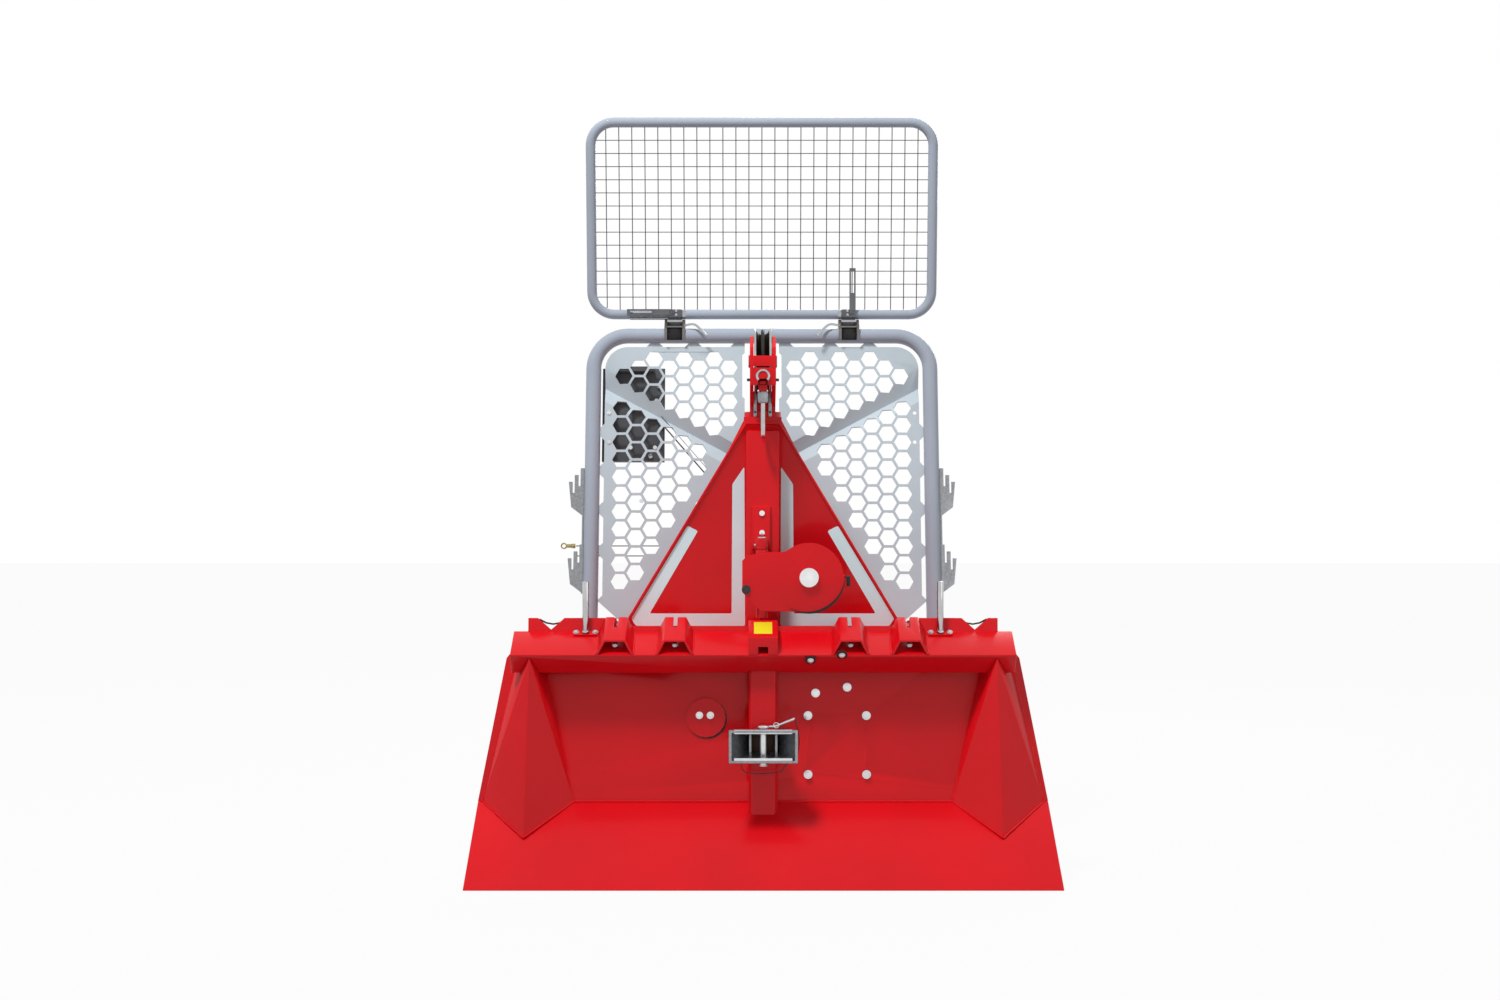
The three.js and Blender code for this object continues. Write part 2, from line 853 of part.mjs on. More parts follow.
function bottomPlate() {
  const half = sideX + sideThickness;
  return block(-half, half, housingFront, rearY - gap, bottomZ, bottomZ + bottomThickness);
}

// Rear plate with the link lugs, the sleeves of the legs and the ears of the two control levers
function rearPlate() {
  const half = sideX + sideThickness;
  const plate = block(-half, half, rearY, rearBack, bottomZ, beamZ - gap);
  const lugs = [-1, 1].flatMap((sign) => [-1, 1].map((end) => {
    const x = sign * linkX + end * (linkGap / 2 + lugThickness / 2);
    return block(
      x - lugThickness / 2, x + lugThickness / 2, rearBack - overrun, rearBack + lugDepth,
      lugZ - lugHeight / 2, lugZ + lugHeight / 2,
    );
  }));
  const reach = legSize / 2 + legPlay;
  const sleeves = [-1, 1].map((sign) => block(
    sign * legX - reach - sleeveWall, sign * legX + reach + sleeveWall,
    rearBack - overrun, legY + reach + sleeveWall, sleeveZ, sleeveZ + sleeveHeight,
  ));
  const hollows = [-1, 1].map((sign) => block(
    sign * legX - reach, sign * legX + reach, legY - reach, legY + reach,
    sleeveZ - overrun, sleeveZ + sleeveHeight + overrun,
  ));
  const earDepth = leverPivotY + leverHubRadius - rearBack;
  const ears = leverXs.flatMap((x) => [-1, 1].map((end) => {
    const middle = x + (end * (leverEarGap + leverEarThickness)) / 2;
    return block(
      middle - leverEarThickness / 2, middle + leverEarThickness / 2, rearBack - overrun, rearBack + earDepth,
      leverPivotZ - leverHubRadius, leverPivotZ + leverHubRadius,
    );
  }));
  const pins = leverXs.map((x) => rodAcross(
    x - leverEarGap / 2 - leverEarThickness, x + leverEarGap / 2 + leverEarThickness,
    leverPivotY, leverPivotZ, leverPinRadius,
  ));
  const boss = rodY(
    coverX, rearY - inputHubRadius, rearBack, coverZ, inputHubRadius + inputShaftRadius, roundSides,
  );
  const shaftBore = rodY(
    coverX, rearY - 2 * inputHubRadius, rearBack + overrun, coverZ, seat(inputShaftRadius),
  );
  const pinBores = [-1, 1].map((sign) => rodAcross(
    sign * linkX - linkGap, sign * linkX + linkGap, linkPinY, lugZ, seat(linkPinRadius),
  ));
  return cut(join(plate, ...lugs, ...sleeves, ...ears, ...pins, boss), shaftBore, ...hollows, ...pinBores);
}

const legY = rearBack + sleeveWall + legPlay + legSize / 2;

function parkingLeg(sign) {
  const half = legSize / 2;
  const x = sign * legX;
  const foot = footSize / 2;
  return join(
    block(x - half, x + half, legY - half, legY + half, footThickness / 2, legTopZ),
    block(x - foot, x + foot, legY - foot, legY + foot, 0, footThickness),
  );
}

function linkPin(sign) {
  const reach = linkGap / 2 + lugThickness + linkPinOverhang;
  return rodAcross(sign * linkX - reach, sign * linkX + reach, linkPinY, lugZ, linkPinRadius);
}

function guardBeam() {
  const front = beamBackY - beamSize;
  const hollow = block(
    -beamHalfWidth - overrun, beamHalfWidth + overrun,
    front + beamWall, beamBackY - beamWall, beamZ + beamWall, beamZ + beamSize - beamWall,
  );
  return cut(block(-beamHalfWidth, beamHalfWidth, front, beamBackY, beamZ, beamZ + beamSize), hollow);
}

function mast() {
  const half = mastWidth / 2;
  const tubeBody = cut(
    block(-half, half, mastFrontY, mastBackY, frameBase, mastTopZ),
    block(
      mastWall - half, half - mastWall, mastFrontY + mastWall, mastBackY - mastWall,
      frameBase - overrun, mastTopZ - mastWall,
    ),
  );
  const plateZ = sleeveTopZ + gap;
  const mountPlate = block(
    mountPlateX, mountPlateX + mountPlateWidth, mastFrontY - mountPlateThickness, mastFrontY,
    plateZ, mountPlateTopZ,
  );
  const arm = block(
    swingX - swingArmWidth / 2, swingX + swingArmWidth / 2, swingY, mastFrontY, plateZ, swingArmTopZ,
  );
  const barrel = rodZ(swingX, swingY, plateZ, swingArmTopZ, sleeveRadius);
  const pin = rodZ(swingX, swingY, frameBase, swingArmTopZ, swingPinRadius);
  return join(tubeBody, mountPlate, arm, barrel, pin);
}

function skin() {
  const slope = (skinHalfBase - skinHalfTop) / (skinTopZ - skinShoulderZ);
  const level = skinRim * Math.hypot(1, slope);
  const whole = [
    [-skinHalfBase, frameBase], [skinHalfBase, frameBase], [skinHalfBase, skinShoulderZ],
    [skinHalfTop, skinTopZ], [-skinHalfTop, skinTopZ], [-skinHalfBase, skinShoulderZ],
  ];
  const side = skinHalfBase - skinRim;
  const top = skinHalfTop + slope * skinRim - level;
  const shoulder = skinShoulderZ - (level - skinRim) / slope;
  const inner = [
    [-side, frameBase - overrun], [side, frameBase - overrun], [side, shoulder],
    [top, skinTopZ - skinRim], [-top, skinTopZ - skinRim], [-side, shoulder],
  ];
  return cut(
    plateXZ(whole, skinY - skinRimDepth, skinY + skinThickness),
    plateXZ(inner, skinY - skinRimDepth - overrun, skinY),
  );
}

// The two tubes behind the skin and the collar that they carry
function frameTubes() {
  const half = frameTubeWidth / 2;
  const top = collarZ + collarHeight / 2;
  const leg = (sign) => hull([
    ...[-half, half].flatMap(
      (x) => [frameTubeY, frameTubeBack].map((y) => [sign * frameTubeBaseX + x, y, frameBase]),
    ),
    ...[-half, half].flatMap(
      (x) => [frameTubeY, frameTubeBack].map((y) => [sign * frameTubeTopX + x, y, top]),
    ),
  ]);
  const collar = block(
    -collarWidth / 2, collarWidth / 2, frameTubeY, headY + headBaseRadius, collarZ,
    collarZ + collarHeight,
  );
  const bore = rodZ(0, headY, collarZ - overrun, collarZ + collarHeight + overrun, collarBore, roundSides);
  return cut(join(leg(-1), leg(1), collar), bore);
}

function tower() {
  const top = collarZ - gap;
  const foot = beamZ + beamSize + gap;
  const front = frameTubeBack + gap;
  const back = beamBackY - gap;
  const eye = towerEyeReach;
  const side = [
    [front, top], [towerNeckY, towerNeckZ], [towerFootFrontY, towerElbowZ], [towerFootFrontY, foot],
    [back, foot], [towerLinkY + eye, towerElbowZ], [towerLinkY + eye, towerLinkZ + eye], [towerTopBackY, top],
  ];
  const stay = (x) => plateYZ(side, x, x + towerThickness);
  const tie = block(
    -towerX - overrun, towerX + overrun, towerFootFrontY, towerFootFrontY + towerTieThickness,
    towerTieZ, towerTieZ + towerTieHeight,
  );
  const wide = towerX + towerThickness + overrun;
  const bore = rodAcross(-wide, wide, towerLinkY, towerLinkZ, seat(topPinRadius));
  return cut(join(stay(towerX), stay(-towerX - towerThickness), tie), bore);
}

function topLinkPin() {
  const reach = towerX + towerThickness + topPinOverhang;
  return rodAcross(-reach, reach, towerLinkY, towerLinkZ, topPinRadius);
}

piece("deck", deck(), red);
leftAndRight((side, sign) => piece("side_plate_" + side, sidePlate(sign), red));
piece("bottom_plate", bottomPlate(), red);
piece("rear_plate", rearPlate(), red);
leftAndRight((side, sign) => piece("parking_leg_" + side, parkingLeg(sign), zinc));
leftAndRight((side, sign) => piece("lower_link_pin_" + side, linkPin(sign), zinc));
piece("guard_beam", guardBeam(), red);
piece("mast", mast(), red);
piece("a_frame_skin", skin(), red);
piece("a_frame_tubes", frameTubes(), red);
piece("link_tower", tower(), red);
piece("top_link_pin", topLinkPin(), zinc);

// Drum with the rope wound on it
const drumBackY = drumFaceY + drumWidth;
const windingRadius = drumX + ropeRadius - gap;

function drum() {
  const bore = seat(shaftRadius, roundSides);
  return turned([
    [bore, brakeDrumY], [flangeRadius, brakeDrumY], [flangeRadius, drumFaceY], [drumCoreRadius, drumFaceY],
    [drumCoreRadius, drumBackY], [flangeRadius, drumBackY], [flangeRadius, drumBackY + flangeThickness],
    [bore, drumBackY + flangeThickness], [bore, brakeDrumY],
  ].reverse(), drumX, drumZ, 2 * roundSides);
}

function winding() {
  const core = drumCoreRadius / Math.cos(Math.PI / (2 * roundSides)) + gap;
  return turned([
    [core, drumFaceY + gap], [windingRadius, drumFaceY + gap],
    [windingRadius, drumBackY - gap], [core, drumBackY - gap], [core, drumFaceY + gap],
  ].reverse(), drumX, drumZ, 2 * roundSides);
}

function sprocket(x, z, teeth, y0, y1) {
  const radius = (teeth * toothPitch) / (2 * Math.PI);
  const step = (2 * Math.PI) / teeth;
  const points = Array.from({ length: teeth }, (_, i) => i * step).flatMap((angle) => [
    [angle, radius - toothHeight], [angle + step * toothRootShare, radius - toothHeight],
    [angle + step * toothRiseShare, radius], [angle + step * toothTipShare, radius],
  ]);
  return plateXZ(points.map(([a, r]) => [x + r * Math.cos(a), z + r * Math.sin(a)]), y0, y1);
}

const teethRadius = (teeth) => (teeth * toothPitch) / (2 * Math.PI);

// Shaft of the drum with its clutch plate and the big sprocket
function drumShaft() {
  const end = rearY - gap - shaftEndSpace;
  const clutchFront = drumBackY + flangeThickness + gap;
  return join(
    rodY(drumX, shaftFrontY, end, drumZ, shaftRadius, roundSides),
    rodY(drumX, clutchFront, sprocketY + sprocketThickness / 2, drumZ, clutchRadius, roundSides),
    sprocket(drumX, drumZ, bigTeeth, sprocketY, sprocketY + sprocketThickness),
  );
}

function inputShaft() {
  return join(
    rodY(coverX, inputFrontY, inputEndY, coverZ, inputShaftRadius),
    rodY(coverX, sprocketY - sprocketThickness, sprocketY + 2 * sprocketThickness, coverZ, inputHubRadius),
    sprocket(coverX, coverZ, smallTeeth, sprocketY, sprocketY + sprocketThickness),
  );
}

// Outline of a belt round two circles
function beltOutline(grow) {
  const big = teethRadius(bigTeeth) + chainGap + grow;
  const small = teethRadius(smallTeeth) + chainGap + grow;
  const across = coverX - drumX;
  const up = coverZ - drumZ;
  const way = Math.atan2(up, across);
  const open = Math.acos((big - small) / Math.hypot(across, up));
  const wide = circle(drumX, drumZ, big, roundSides, way + open, way + 2 * Math.PI - open);
  const tight = circle(coverX, coverZ, small, smallSides, way - open, way + open);
  return [...wide, ...tight];
}

function chain() {
  const sag = 1 / Math.cos(Math.PI / smallSides / 2);
  const inner = beltOutline((sag - 1) * teethRadius(bigTeeth));
  return plateXZ(beltOutline(chainThickness), sprocketY, sprocketY + sprocketThickness, [inner]);
}

function frontBearing() {
  const half = bearingSize / 2;
  const front = plateBack(drumZ + half) + gap;
  const flange = block(drumX - half, drumX + half, front, front + bearingFlange, drumZ - half, drumZ + half);
  const hub = rodY(
    drumX, front, front + bearingFlange + bearingHubLength, drumZ, bearingHubRadius, roundSides,
  );
  const bolts = bearingBolts().flatMap(([x, z]) => {
    const seatY = plateFront(z - boltHeadRadius) - gap;
    return [
      rodY(x, seatY - boltHeadHeight, seatY, z, boltHeadRadius, hexagonSides),
      rodY(x, seatY - boltHeadHeight / 2, front + bearingFlange / 2, z, bearingBoltRadius),
    ];
  });
  const bore = rodY(
    drumX, shaftFrontY - overrun, drumFaceY, drumZ, seat(shaftRadius, roundSides), roundSides,
  );
  return cut(join(flange, hub, ...bolts), bore);
}

function rearBearing() {
  const half = bearingSize / 2;
  const back = rearY - gap;
  const flange = block(drumX - half, drumX + half, back - bearingFlange, back, drumZ - half, drumZ + half);
  const hub = rodY(drumX, back - bearingFlange - bearingHubLength, back, drumZ, bearingHubRadius, roundSides);
  const bore = rodY(drumX, drumFaceY, rearY, drumZ, seat(shaftRadius, roundSides), roundSides);
  return cut(join(flange, hub), bore);
}

const brakeBandSweep = (brakeBandTurn * Math.PI) / 180;

// Brake band round the front flange, held by an anchor that stands on the bottom plate
function brakeBand() {
  const inner = flangeRadius + brakeBandGap;
  const outer = inner + brakeBandWall;
  const arc = [...circle(drumX, drumZ, outer, 2 * roundSides, 0, brakeBandSweep)];
  const back = circle(
    drumX, drumZ, inner / Math.cos(Math.PI / 2 / roundSides), 2 * roundSides, 0, brakeBandSweep,
  );
  const band = plateXZ([...arc, ...back.reverse()], brakeDrumY + gap, drumFaceY - gap);
  const low = bottomZ + bottomThickness + gap;
  const foot = drumZ - inner - brakeBandWall / 2;
  const half = drumWidth / 4;
  return join(band, block(drumX - half, drumX + half, brakeDrumY + gap, drumFaceY - gap, low, foot));
}

function inputGuard() {
  return cut(
    rodY(coverX, rearBack + gap, guardTubeEndY, coverZ, guardTubeRadius, roundSides),
    rodY(
      coverX, rearBack - overrun, guardTubeEndY + overrun, coverZ, guardTubeRadius - guardTubeWall,
      roundSides,
    ),
  );
}

function controlLever(x) {
  const half = leverWidth / 2;
  const tip = [x, leverPivotY + leverLean, leverPivotZ + leverLength];
  const hub = rodAcross(x - half, x + half, leverPivotY, leverPivotZ, leverHubRadius);
  const arm = rod([x, leverPivotY, leverPivotZ], tip, half);
  const grip = rod([x, leverPivotY + leverLean / 2, leverPivotZ + leverLength / 2], tip, leverGripRadius);
  const bore = rodAcross(x - leverWidth, x + leverWidth, leverPivotY, leverPivotZ, seat(leverPinRadius));
  return cut(join(hub, arm, grip), bore);
}

// Swing bracket: a front cheek welded to the sleeve, a rear cheek, the axle and a strip that keeps the
// rope in
function swingBracket() {
  const corner = cheekChamfer;
  const cheekBottomZ = sidePulleyZ - cheekRadius;
  const plate = [
    [cheekLeft, cheekLeftBottomZ + corner], [cheekLeft, cheekLeftTopZ - corner],
    [cheekLeft + corner, cheekLeftTopZ], [cheekRiseX, cheekTopZ], [cheekTopX, cheekTopZ],
    [sidePulleyX, sidePulleyZ + cheekRadius * cheekTangentShare], [sidePulleyX, cheekBottomZ],
    [cheekBottomX, cheekBottomZ + corner / 4], [cheekLeft + corner, cheekLeftBottomZ],
  ].reverse();
  const cheekBack = cheekY + cheekThickness;
  const cheek = join(
    plateXZ(plate, cheekY, cheekBack),
    rodY(sidePulleyX, cheekY, cheekBack, sidePulleyZ, cheekRadius, 2 * roundSides),
  );
  const sleeveBottom = plateTopZ + gap;
  const sleeve = rodZ(swingX, swingY, sleeveBottom, sleeveTopZ, sleeveRadius);
  const web = block(
    swingX - sleeveRadius / 2, swingX + sleeveRadius / 2, cheekBack - gap, swingY, cheekLeftBottomZ,
    cheekLeftTopZ,
  );
  const rearCheekFront = cheekBack + 2 * sidePulleyGap + sidePulleyWidth;
  const rearCheekBack = rearCheekFront + cheekThickness;
  const rearCheek = join(
    rodY(sidePulleyX, rearCheekFront, rearCheekBack, sidePulleyZ, rearCheekRadius, roundSides),
    block(
      swingX, sidePulleyX, rearCheekFront, rearCheekBack, sidePulleyZ - rearCheekRadius / 2,
      sidePulleyZ + rearCheekRadius / 2,
    ),
  );
  const axle = rodY(sidePulleyX, cheekY, rearCheekBack + cheekThickness, sidePulleyZ, sideAxleRadius);
  const head = rodY(
    sidePulleyX, cheekY - sideAxleHeadHeight, cheekY, sidePulleyZ, sideAxleHeadRadius, roundSides,
  );
  const degrees = Math.PI / 180;
  const strip = (radius) =>
    circle(sidePulleyX, sidePulleyZ, radius, roundSides, ropeGuardStart * degrees, ropeGuardEnd * degrees);
  const ropeGuard = plateXZ(
    [...strip(ropeGuardRadius + ropeGuardThickness), ...strip(ropeGuardRadius).reverse()], cheekY,
    rearCheekFront,
  );
  const lug = block(
    sidePulleyX + sidePulleyRadius, sidePulleyX + ropeGuardRadius + ropeGuardThickness / 2,
    cheekY, cheekBack, sidePulleyZ - cheekChamfer, sidePulleyZ + cheekThickness,
  );
  const pinBore = rodZ(
    swingX, swingY, 0, sleeveTopZ + overrun,
    swingPinRadius / Math.cos(Math.PI / smallSides) + swingPinGap,
  );
  return cut(join(cheek, sleeve, web, rearCheek, axle, head, ropeGuard, lug), pinBore);
}

function sidePulley() {
  const front = cheekY + cheekThickness + sidePulleyGap;
  const back = front + sidePulleyWidth;
  const middle = (front + back) / 2;
  const bore = seat(sideAxleRadius);
  return turned([
    [bore, front], [sidePulleyRadius, front], [sidePulleyRadius - sidePulleyGroove, middle],
    [sidePulleyRadius, back], [bore, back], [bore, front],
  ].reverse(), sidePulleyX, sidePulleyZ, 2 * roundSides);
}

piece("drum", drum(), steel);
piece("rope_winding", winding(), rope);
piece("drum_shaft", drumShaft(), steel);
piece("input_shaft", inputShaft(), steel);
piece("drive_chain", chain(), steel);
piece("front_bearing", frontBearing(), zinc);
piece("rear_bearing", rearBearing(), zinc);
piece("brake_band", brakeBand(), steel);
piece("input_guard", inputGuard(), plastic);
["clutch_lever", "brake_lever"].forEach((name, i) => piece(name, controlLever(leverXs[i]), black));
piece("swing_bracket", swingBracket(), red);
piece("side_pulley", sidePulley(), steel);

// Head: a base that turns on the collar, two side plates, the sheave's axle and the block that guides
// the rope out
const sheaveY = headY - sheaveRopeRadius;
const ropeFrontY = sheaveY - sheaveRopeRadius;
const headBaseZ = collarZ + collarHeight + gap;

function head() {
  const inner = headPlateGap / 2;
  const outer = inner + headPlateThickness;
  const baseTop = headBaseZ + headBaseHeight;
  const ear = headEarZ - sheaveZ;
  const side = [
    [headY + headBaseRadius * headFootShare, baseTop - overrun], [
      headY + sheaveRadius * headWaistShare, sheaveZ - ear,
    ],
    [headY + sheaveRadius * headMiddleShare, sheaveZ], [
      sheaveY + sheaveRadius * headShoulderShare, sheaveZ + ear * headShoulderRise,
    ],
    [sheaveY + sheaveRadius / 2, headEarZ], [sheaveY - sheaveRadius / 2, headEarZ],
    [headBlockFrontY + headBlockDepth / 4, sheaveZ + ear / 2], [headBlockFrontY, headBridgeTopZ],
    [headBlockFrontY, headBlockBottomZ], [headBlockFrontY + headBlockDepth, headBlockBottomZ],
    [headY - headBaseRadius * headFootShare, baseTop + headBaseHeight], [
      headY - headBaseRadius * headFootShare, baseTop - overrun,
    ],
  ];
  const plate = (x) => plateYZ(side, x, x + headPlateThickness);
  const blockBack = headBlockFrontY + headBlockDepth;
  const guide = block(-outer, outer, headBlockFrontY, blockBack, headBlockBottomZ, headBlockTopZ);
  const bridge = block(
    -headBridgeWidth / 2, headBridgeWidth / 2, headBlockFrontY, headBlockFrontY + headBridgeThickness,
    headBridgeBottomZ, headBridgeTopZ,
  );
  const web = block(
    -inner - overrun, inner + overrun, headWebBack - headWebThickness, headWebBack,
    baseTop - overrun, headBlockBottomZ,
  );
  const eye = rodY(0, headBlockFrontY - eyeHeight, headBlockFrontY + eyeHeight, eyeZ, eyeRadius, roundSides);
  const half = yokeWidth / 2 + gap + gap;
  const chamber = block(
    -half, half, headBlockFrontY - overrun - eyeHeight, ropeFrontY + half + yokeSpace,
    headBlockBottomZ - overrun, yokeTopZ + gap,
  );
  const ropeWay = rodZ(0, ropeFrontY, headBlockBottomZ - overrun, headBlockTopZ + overrun, headBore);
  const riserWay = rodZ(0, headY, headBaseZ - headSpigotLength - overrun, baseTop + overrun, headBore);
  const sheaveSpace = rodAcross(-inner, inner, sheaveY, sheaveZ, sheaveRadius + overrun, roundSides);
  const end = outer + axleHeadHeight;
  const axle = rodAcross(-end, end, sheaveY, sheaveZ, sheaveAxleRadius);
  const heads = [[-end, -outer], [outer, end]].map(([x0, x1]) => rodAcross(x0, x1, sheaveY, sheaveZ, axleHeadRadius));
  const base = rodZ(0, headY, headBaseZ, baseTop, headBaseRadius, roundSides);
  const spigot = rodZ(0, headY, headBaseZ - headSpigotLength, headBaseZ + gap, headSpigotRadius, roundSides);
  const body = cut(
    join(plate(inner), plate(-outer), guide, bridge, web, eye, base, spigot), chamber, ropeWay,
    riserWay, sheaveSpace,
  );
  return join(body, axle, ...heads);
}

function sheave() {
  const half = sheaveWidth / 2;
  const deep = sheaveRopeRadius - 2 * ropeRadius;
  const bore = seat(sheaveAxleRadius);
  const profile = [
    [bore, -half], [sheaveRadius, -half], [sheaveRadius, sheaveRimWidth - half], [deep, -ropeRadius - gap],
    [deep, ropeRadius + gap], [sheaveRadius, half - sheaveRimWidth], [sheaveRadius, half], [bore, half],
    [bore, -half],
  ];
  const wheel = turned(profile.reverse(), 0, 0, 2 * roundSides);
  return wheel.rotateZ(-Math.PI / 2).translate(0, sheaveY, sheaveZ);
}

// The rope from the drum up to the head, and its stretch over the sheave to the yoke
function ropeRiser() {
  const reach = drumX - ropeRadius - gap;
  const bottom = drumZ + Math.sqrt((windingRadius + gap) ** 2 - reach ** 2);
  return rodZ(0, headY, bottom, headBaseZ - headSpigotLength - gap, ropeRadius, ropeSides);
}

function headRope() {
  const over = Array.from({ length: smallSides + 1 }, (_, i) => {
    const angle = (Math.PI * i) / smallSides;
    return [0, sheaveY + sheaveRopeRadius * Math.cos(angle), sheaveZ + sheaveRopeRadius * Math.sin(angle)];
  });
  const bottom = [0, headY, headBaseZ - headSpigotLength];
  return tube([bottom, ...over, [0, ropeFrontY, yokeTopZ + gap]], ropeRadius, ropeSides);
}

// Rope end: yoke, ferrule and an open hook
function ropeHook() {
  const half = yokeWidth / 2;
  const yoke = block(-half, half, ropeFrontY - half, ropeFrontY + half, yokeBottomZ, yokeTopZ);
  const ferrule = rodZ(0, ropeFrontY, ferruleBottomZ, yokeBottomZ + overrun, ferruleRadius);
  const middle = hookBottomZ + hookRadius;
  const bend = circle(
    ropeFrontY + hookRadius - hookThickness, middle, hookRadius, smallSides, -Math.PI, Math.PI / 6,
  );
  const inside = circle(
    ropeFrontY + hookRadius - hookThickness, middle, hookRadius - hookThickness, smallSides, -Math.PI,
    Math.PI / 6,
  );
  const shank = block(
    -hookWidth / 2, hookWidth / 2, ropeFrontY - hookThickness, ropeFrontY + hookThickness / 4,
    middle - gap, ferruleBottomZ + overrun,
  );
  const curve = plateYZ([...bend, ...inside.reverse()], -hookWidth / 2, hookWidth / 2);
  return join(yoke, ferrule, shank, curve);
}

piece("head", head(), red);
piece("top_sheave", sheave(), steel);
piece("rope_riser", ropeRiser(), rope);
piece("head_rope", headRope(), rope);
piece("rope_hook", ropeHook(), zinc);

// Lower guard, drawn upright from its foot line and then leaned
const guardLean = Math.atan2(guardTopY - guardFootY, guardTopZ - guardFootZ);
const guardHeight = Math.hypot(guardTopY - guardFootY, guardTopZ - guardFootZ);
const guardTubeX = guardHalfWidth - guardTubeOuter;
const guardTubeTop = guardHeight - guardTubeOuter;
const topTubeY = guardFootY + guardTubeTop * Math.sin(guardLean);
const topTubeZ = guardFootZ + guardTubeTop * Math.cos(guardLean);

const leaned = (geometry) => geometry.rotateX(-guardLean).translate(0, guardFootY, guardFootZ);

// Points of a bend between two straight stretches, from one angle to another
function bendPoints(x, z, radius, from, to) {
  return Array.from({ length: bendSteps + 1 }, (_, i) => {
    const angle = from + ((to - from) * i) / bendSteps;
    return [x + radius * Math.cos(angle), 0, z + radius * Math.sin(angle)];
  });
}

function archRoute(halfWidth, bottom, top, radius) {
  return [
    [halfWidth, 0, bottom],
    ...bendPoints(halfWidth - radius, top - radius, radius, 0, Math.PI / 2),
    ...bendPoints(radius - halfWidth, top - radius, radius, Math.PI / 2, Math.PI),
    [-halfWidth, 0, bottom],
  ];
}

function lowerGuardTube() {
  const arch = tube(archRoute(guardTubeX, 0, guardTubeTop, guardCorner - guardTubeOuter), guardTubeOuter);
  const low = beamZ + beamSize + gap;
  const half = guardFootHalf;
  const feet = [-1, 1].map((sign) => block(
    sign * guardTubeX - half, sign * guardTubeX + half, guardFootY - half, guardFootY + half - overrun,
    low, guardFootZ + overrun,
  ));
  return join(leaned(arch), ...feet);
}

const bendMitre = 1 / Math.cos(Math.PI / (4 * bendSteps));
const panelInnerCorner = guardCorner - guardTubeOuter * (1 + bendMitre) - gap;
const panelX = guardHalfWidth - guardCorner + panelInnerCorner;
const panelTop = guardHeight - guardCorner + panelInnerCorner;
const notchBottom = (panelNotchZ - guardFootZ) / Math.cos(guardLean);
const windowTop = (panelWindowZ - guardFootZ) / Math.cos(guardLean);

function panelOutline() {
  const flat = (points) => points.map(([x, , z]) => [x, z]);
  const right = [
    [panelWindowWidth / 2, windowTop], [panelWindowWidth / 2, panelBottom],
    [panelX - panelChamfer, panelBottom], [panelX, panelBottom + panelChamfer],
    ...flat(
      bendPoints(panelX - panelInnerCorner, panelTop - panelInnerCorner, panelInnerCorner, 0, Math.PI / 2),
    ),
    [panelNotchWidth / 2, panelTop], [panelNotchWidth / 2, notchBottom],
  ];
  return [...right, ...right.map(([x, z]) => [-x, z]).reverse()];
}

function hexHoles() {
  const radius = (hexRowPitch - hexWeb) / Math.sqrt(3);
  const space = radius + panelMargin;
  const columns = Math.ceil(panelX / hexColumnPitch);
  const rows = Math.ceil(panelTop / hexRowPitch);
  const fits = (x, z) => {
    const side = panelX - Math.abs(x);
    const corner = panelInnerCorner - side;
    const up = z - panelTop + panelInnerCorner;
    const low = z - panelBottom;
    if (side < space || panelTop - z < space || low < space) return false;
    if (corner > 0 && up > 0 && Math.hypot(corner, up) > panelInnerCorner - space) return false;
    if (side + low < panelChamfer + space * Math.SQRT2) return false;
    if (z > notchBottom - space && Math.abs(x) < panelNotchWidth / 2 + space) return false;
    return z > windowTop + space || Math.abs(x) > panelWindowWidth / 2 + space;
  };
  const holes = [];
  for (let i = -columns; i <= columns; i++) {
    for (let j = 0; j <= rows; j++) {
      const x = i * hexColumnPitch;
      const z = panelBottom + (j + (i % 2 === 0 ? 0 : 1 / 2)) * hexRowPitch;
      if (fits(x, z)) holes.push(circle(x, z, radius, hexagonSides));
    }
  }
  return holes;
}

// Heights of the three creases of a groove at a distance from the middle
const creases = [
  [grooveTopNear, grooveTopFar], [grooveFoldNear, grooveFoldFar], [grooveBottomNear, grooveBottomFar],
].map(
  ([near, far]) => (x) => near + ((far - near) * (Math.abs(x) - grooveNearX)) / (grooveFarX - grooveNearX),
);

function grooveAt(x, z) {
  const [top, fold, bottom] = creases.map((crease) => crease(x));
  const share = z > fold ? (top - z) / (top - fold) : (z - bottom) / (fold - bottom);
  return grooveDepth * Math.max(0, share);
}

// Splits the triangles of a closed mesh along the line where a function of x and z is zero
function creased(mesh, level) {
  const points = [...mesh.points];
  const made = new Map();
  const sign = points.map(([x, , z]) => {
    const value = level(x, z);
    return Math.abs(value) < creaseTolerance ? 0 : Math.sign(value);
  });
  const between = (a, b) => {
    const key = Math.min(a, b) + "_" + Math.max(a, b);
    if (!made.has(key)) {
      const [p, q] = [points[Math.min(a, b)], points[Math.max(a, b)]];
      const [u, v] = [Math.abs(level(p[0], p[2])), Math.abs(level(q[0], q[2]))];
      made.set(key, points.push(p.map((value, i) => value + ((q[i] - value) * u) / (u + v))) - 1);
    }
    return made.get(key);
  };
  const faces = mesh.faces.flatMap((face) => {
    const signs = face.map((i) => sign[i]);
    if (!(signs.includes(1) && signs.includes(-1))) return [face];
    const ring = face.flatMap((a, i) => {
      const b = face[(i + 1) % face.length];
      return sign[a] * sign[b] < 0 ? [a, between(a, b)] : [a];
    });
    const part = (side) => ring.filter((i) => (sign[i] ?? 0) * side >= 0);
    return [part(1), part(-1)].flatMap(
      (poly) => poly.slice(2).map((_, i) => [poly[0], poly[i + 1], poly[i + 2]]),
    );
  });
  return { points, faces };
}

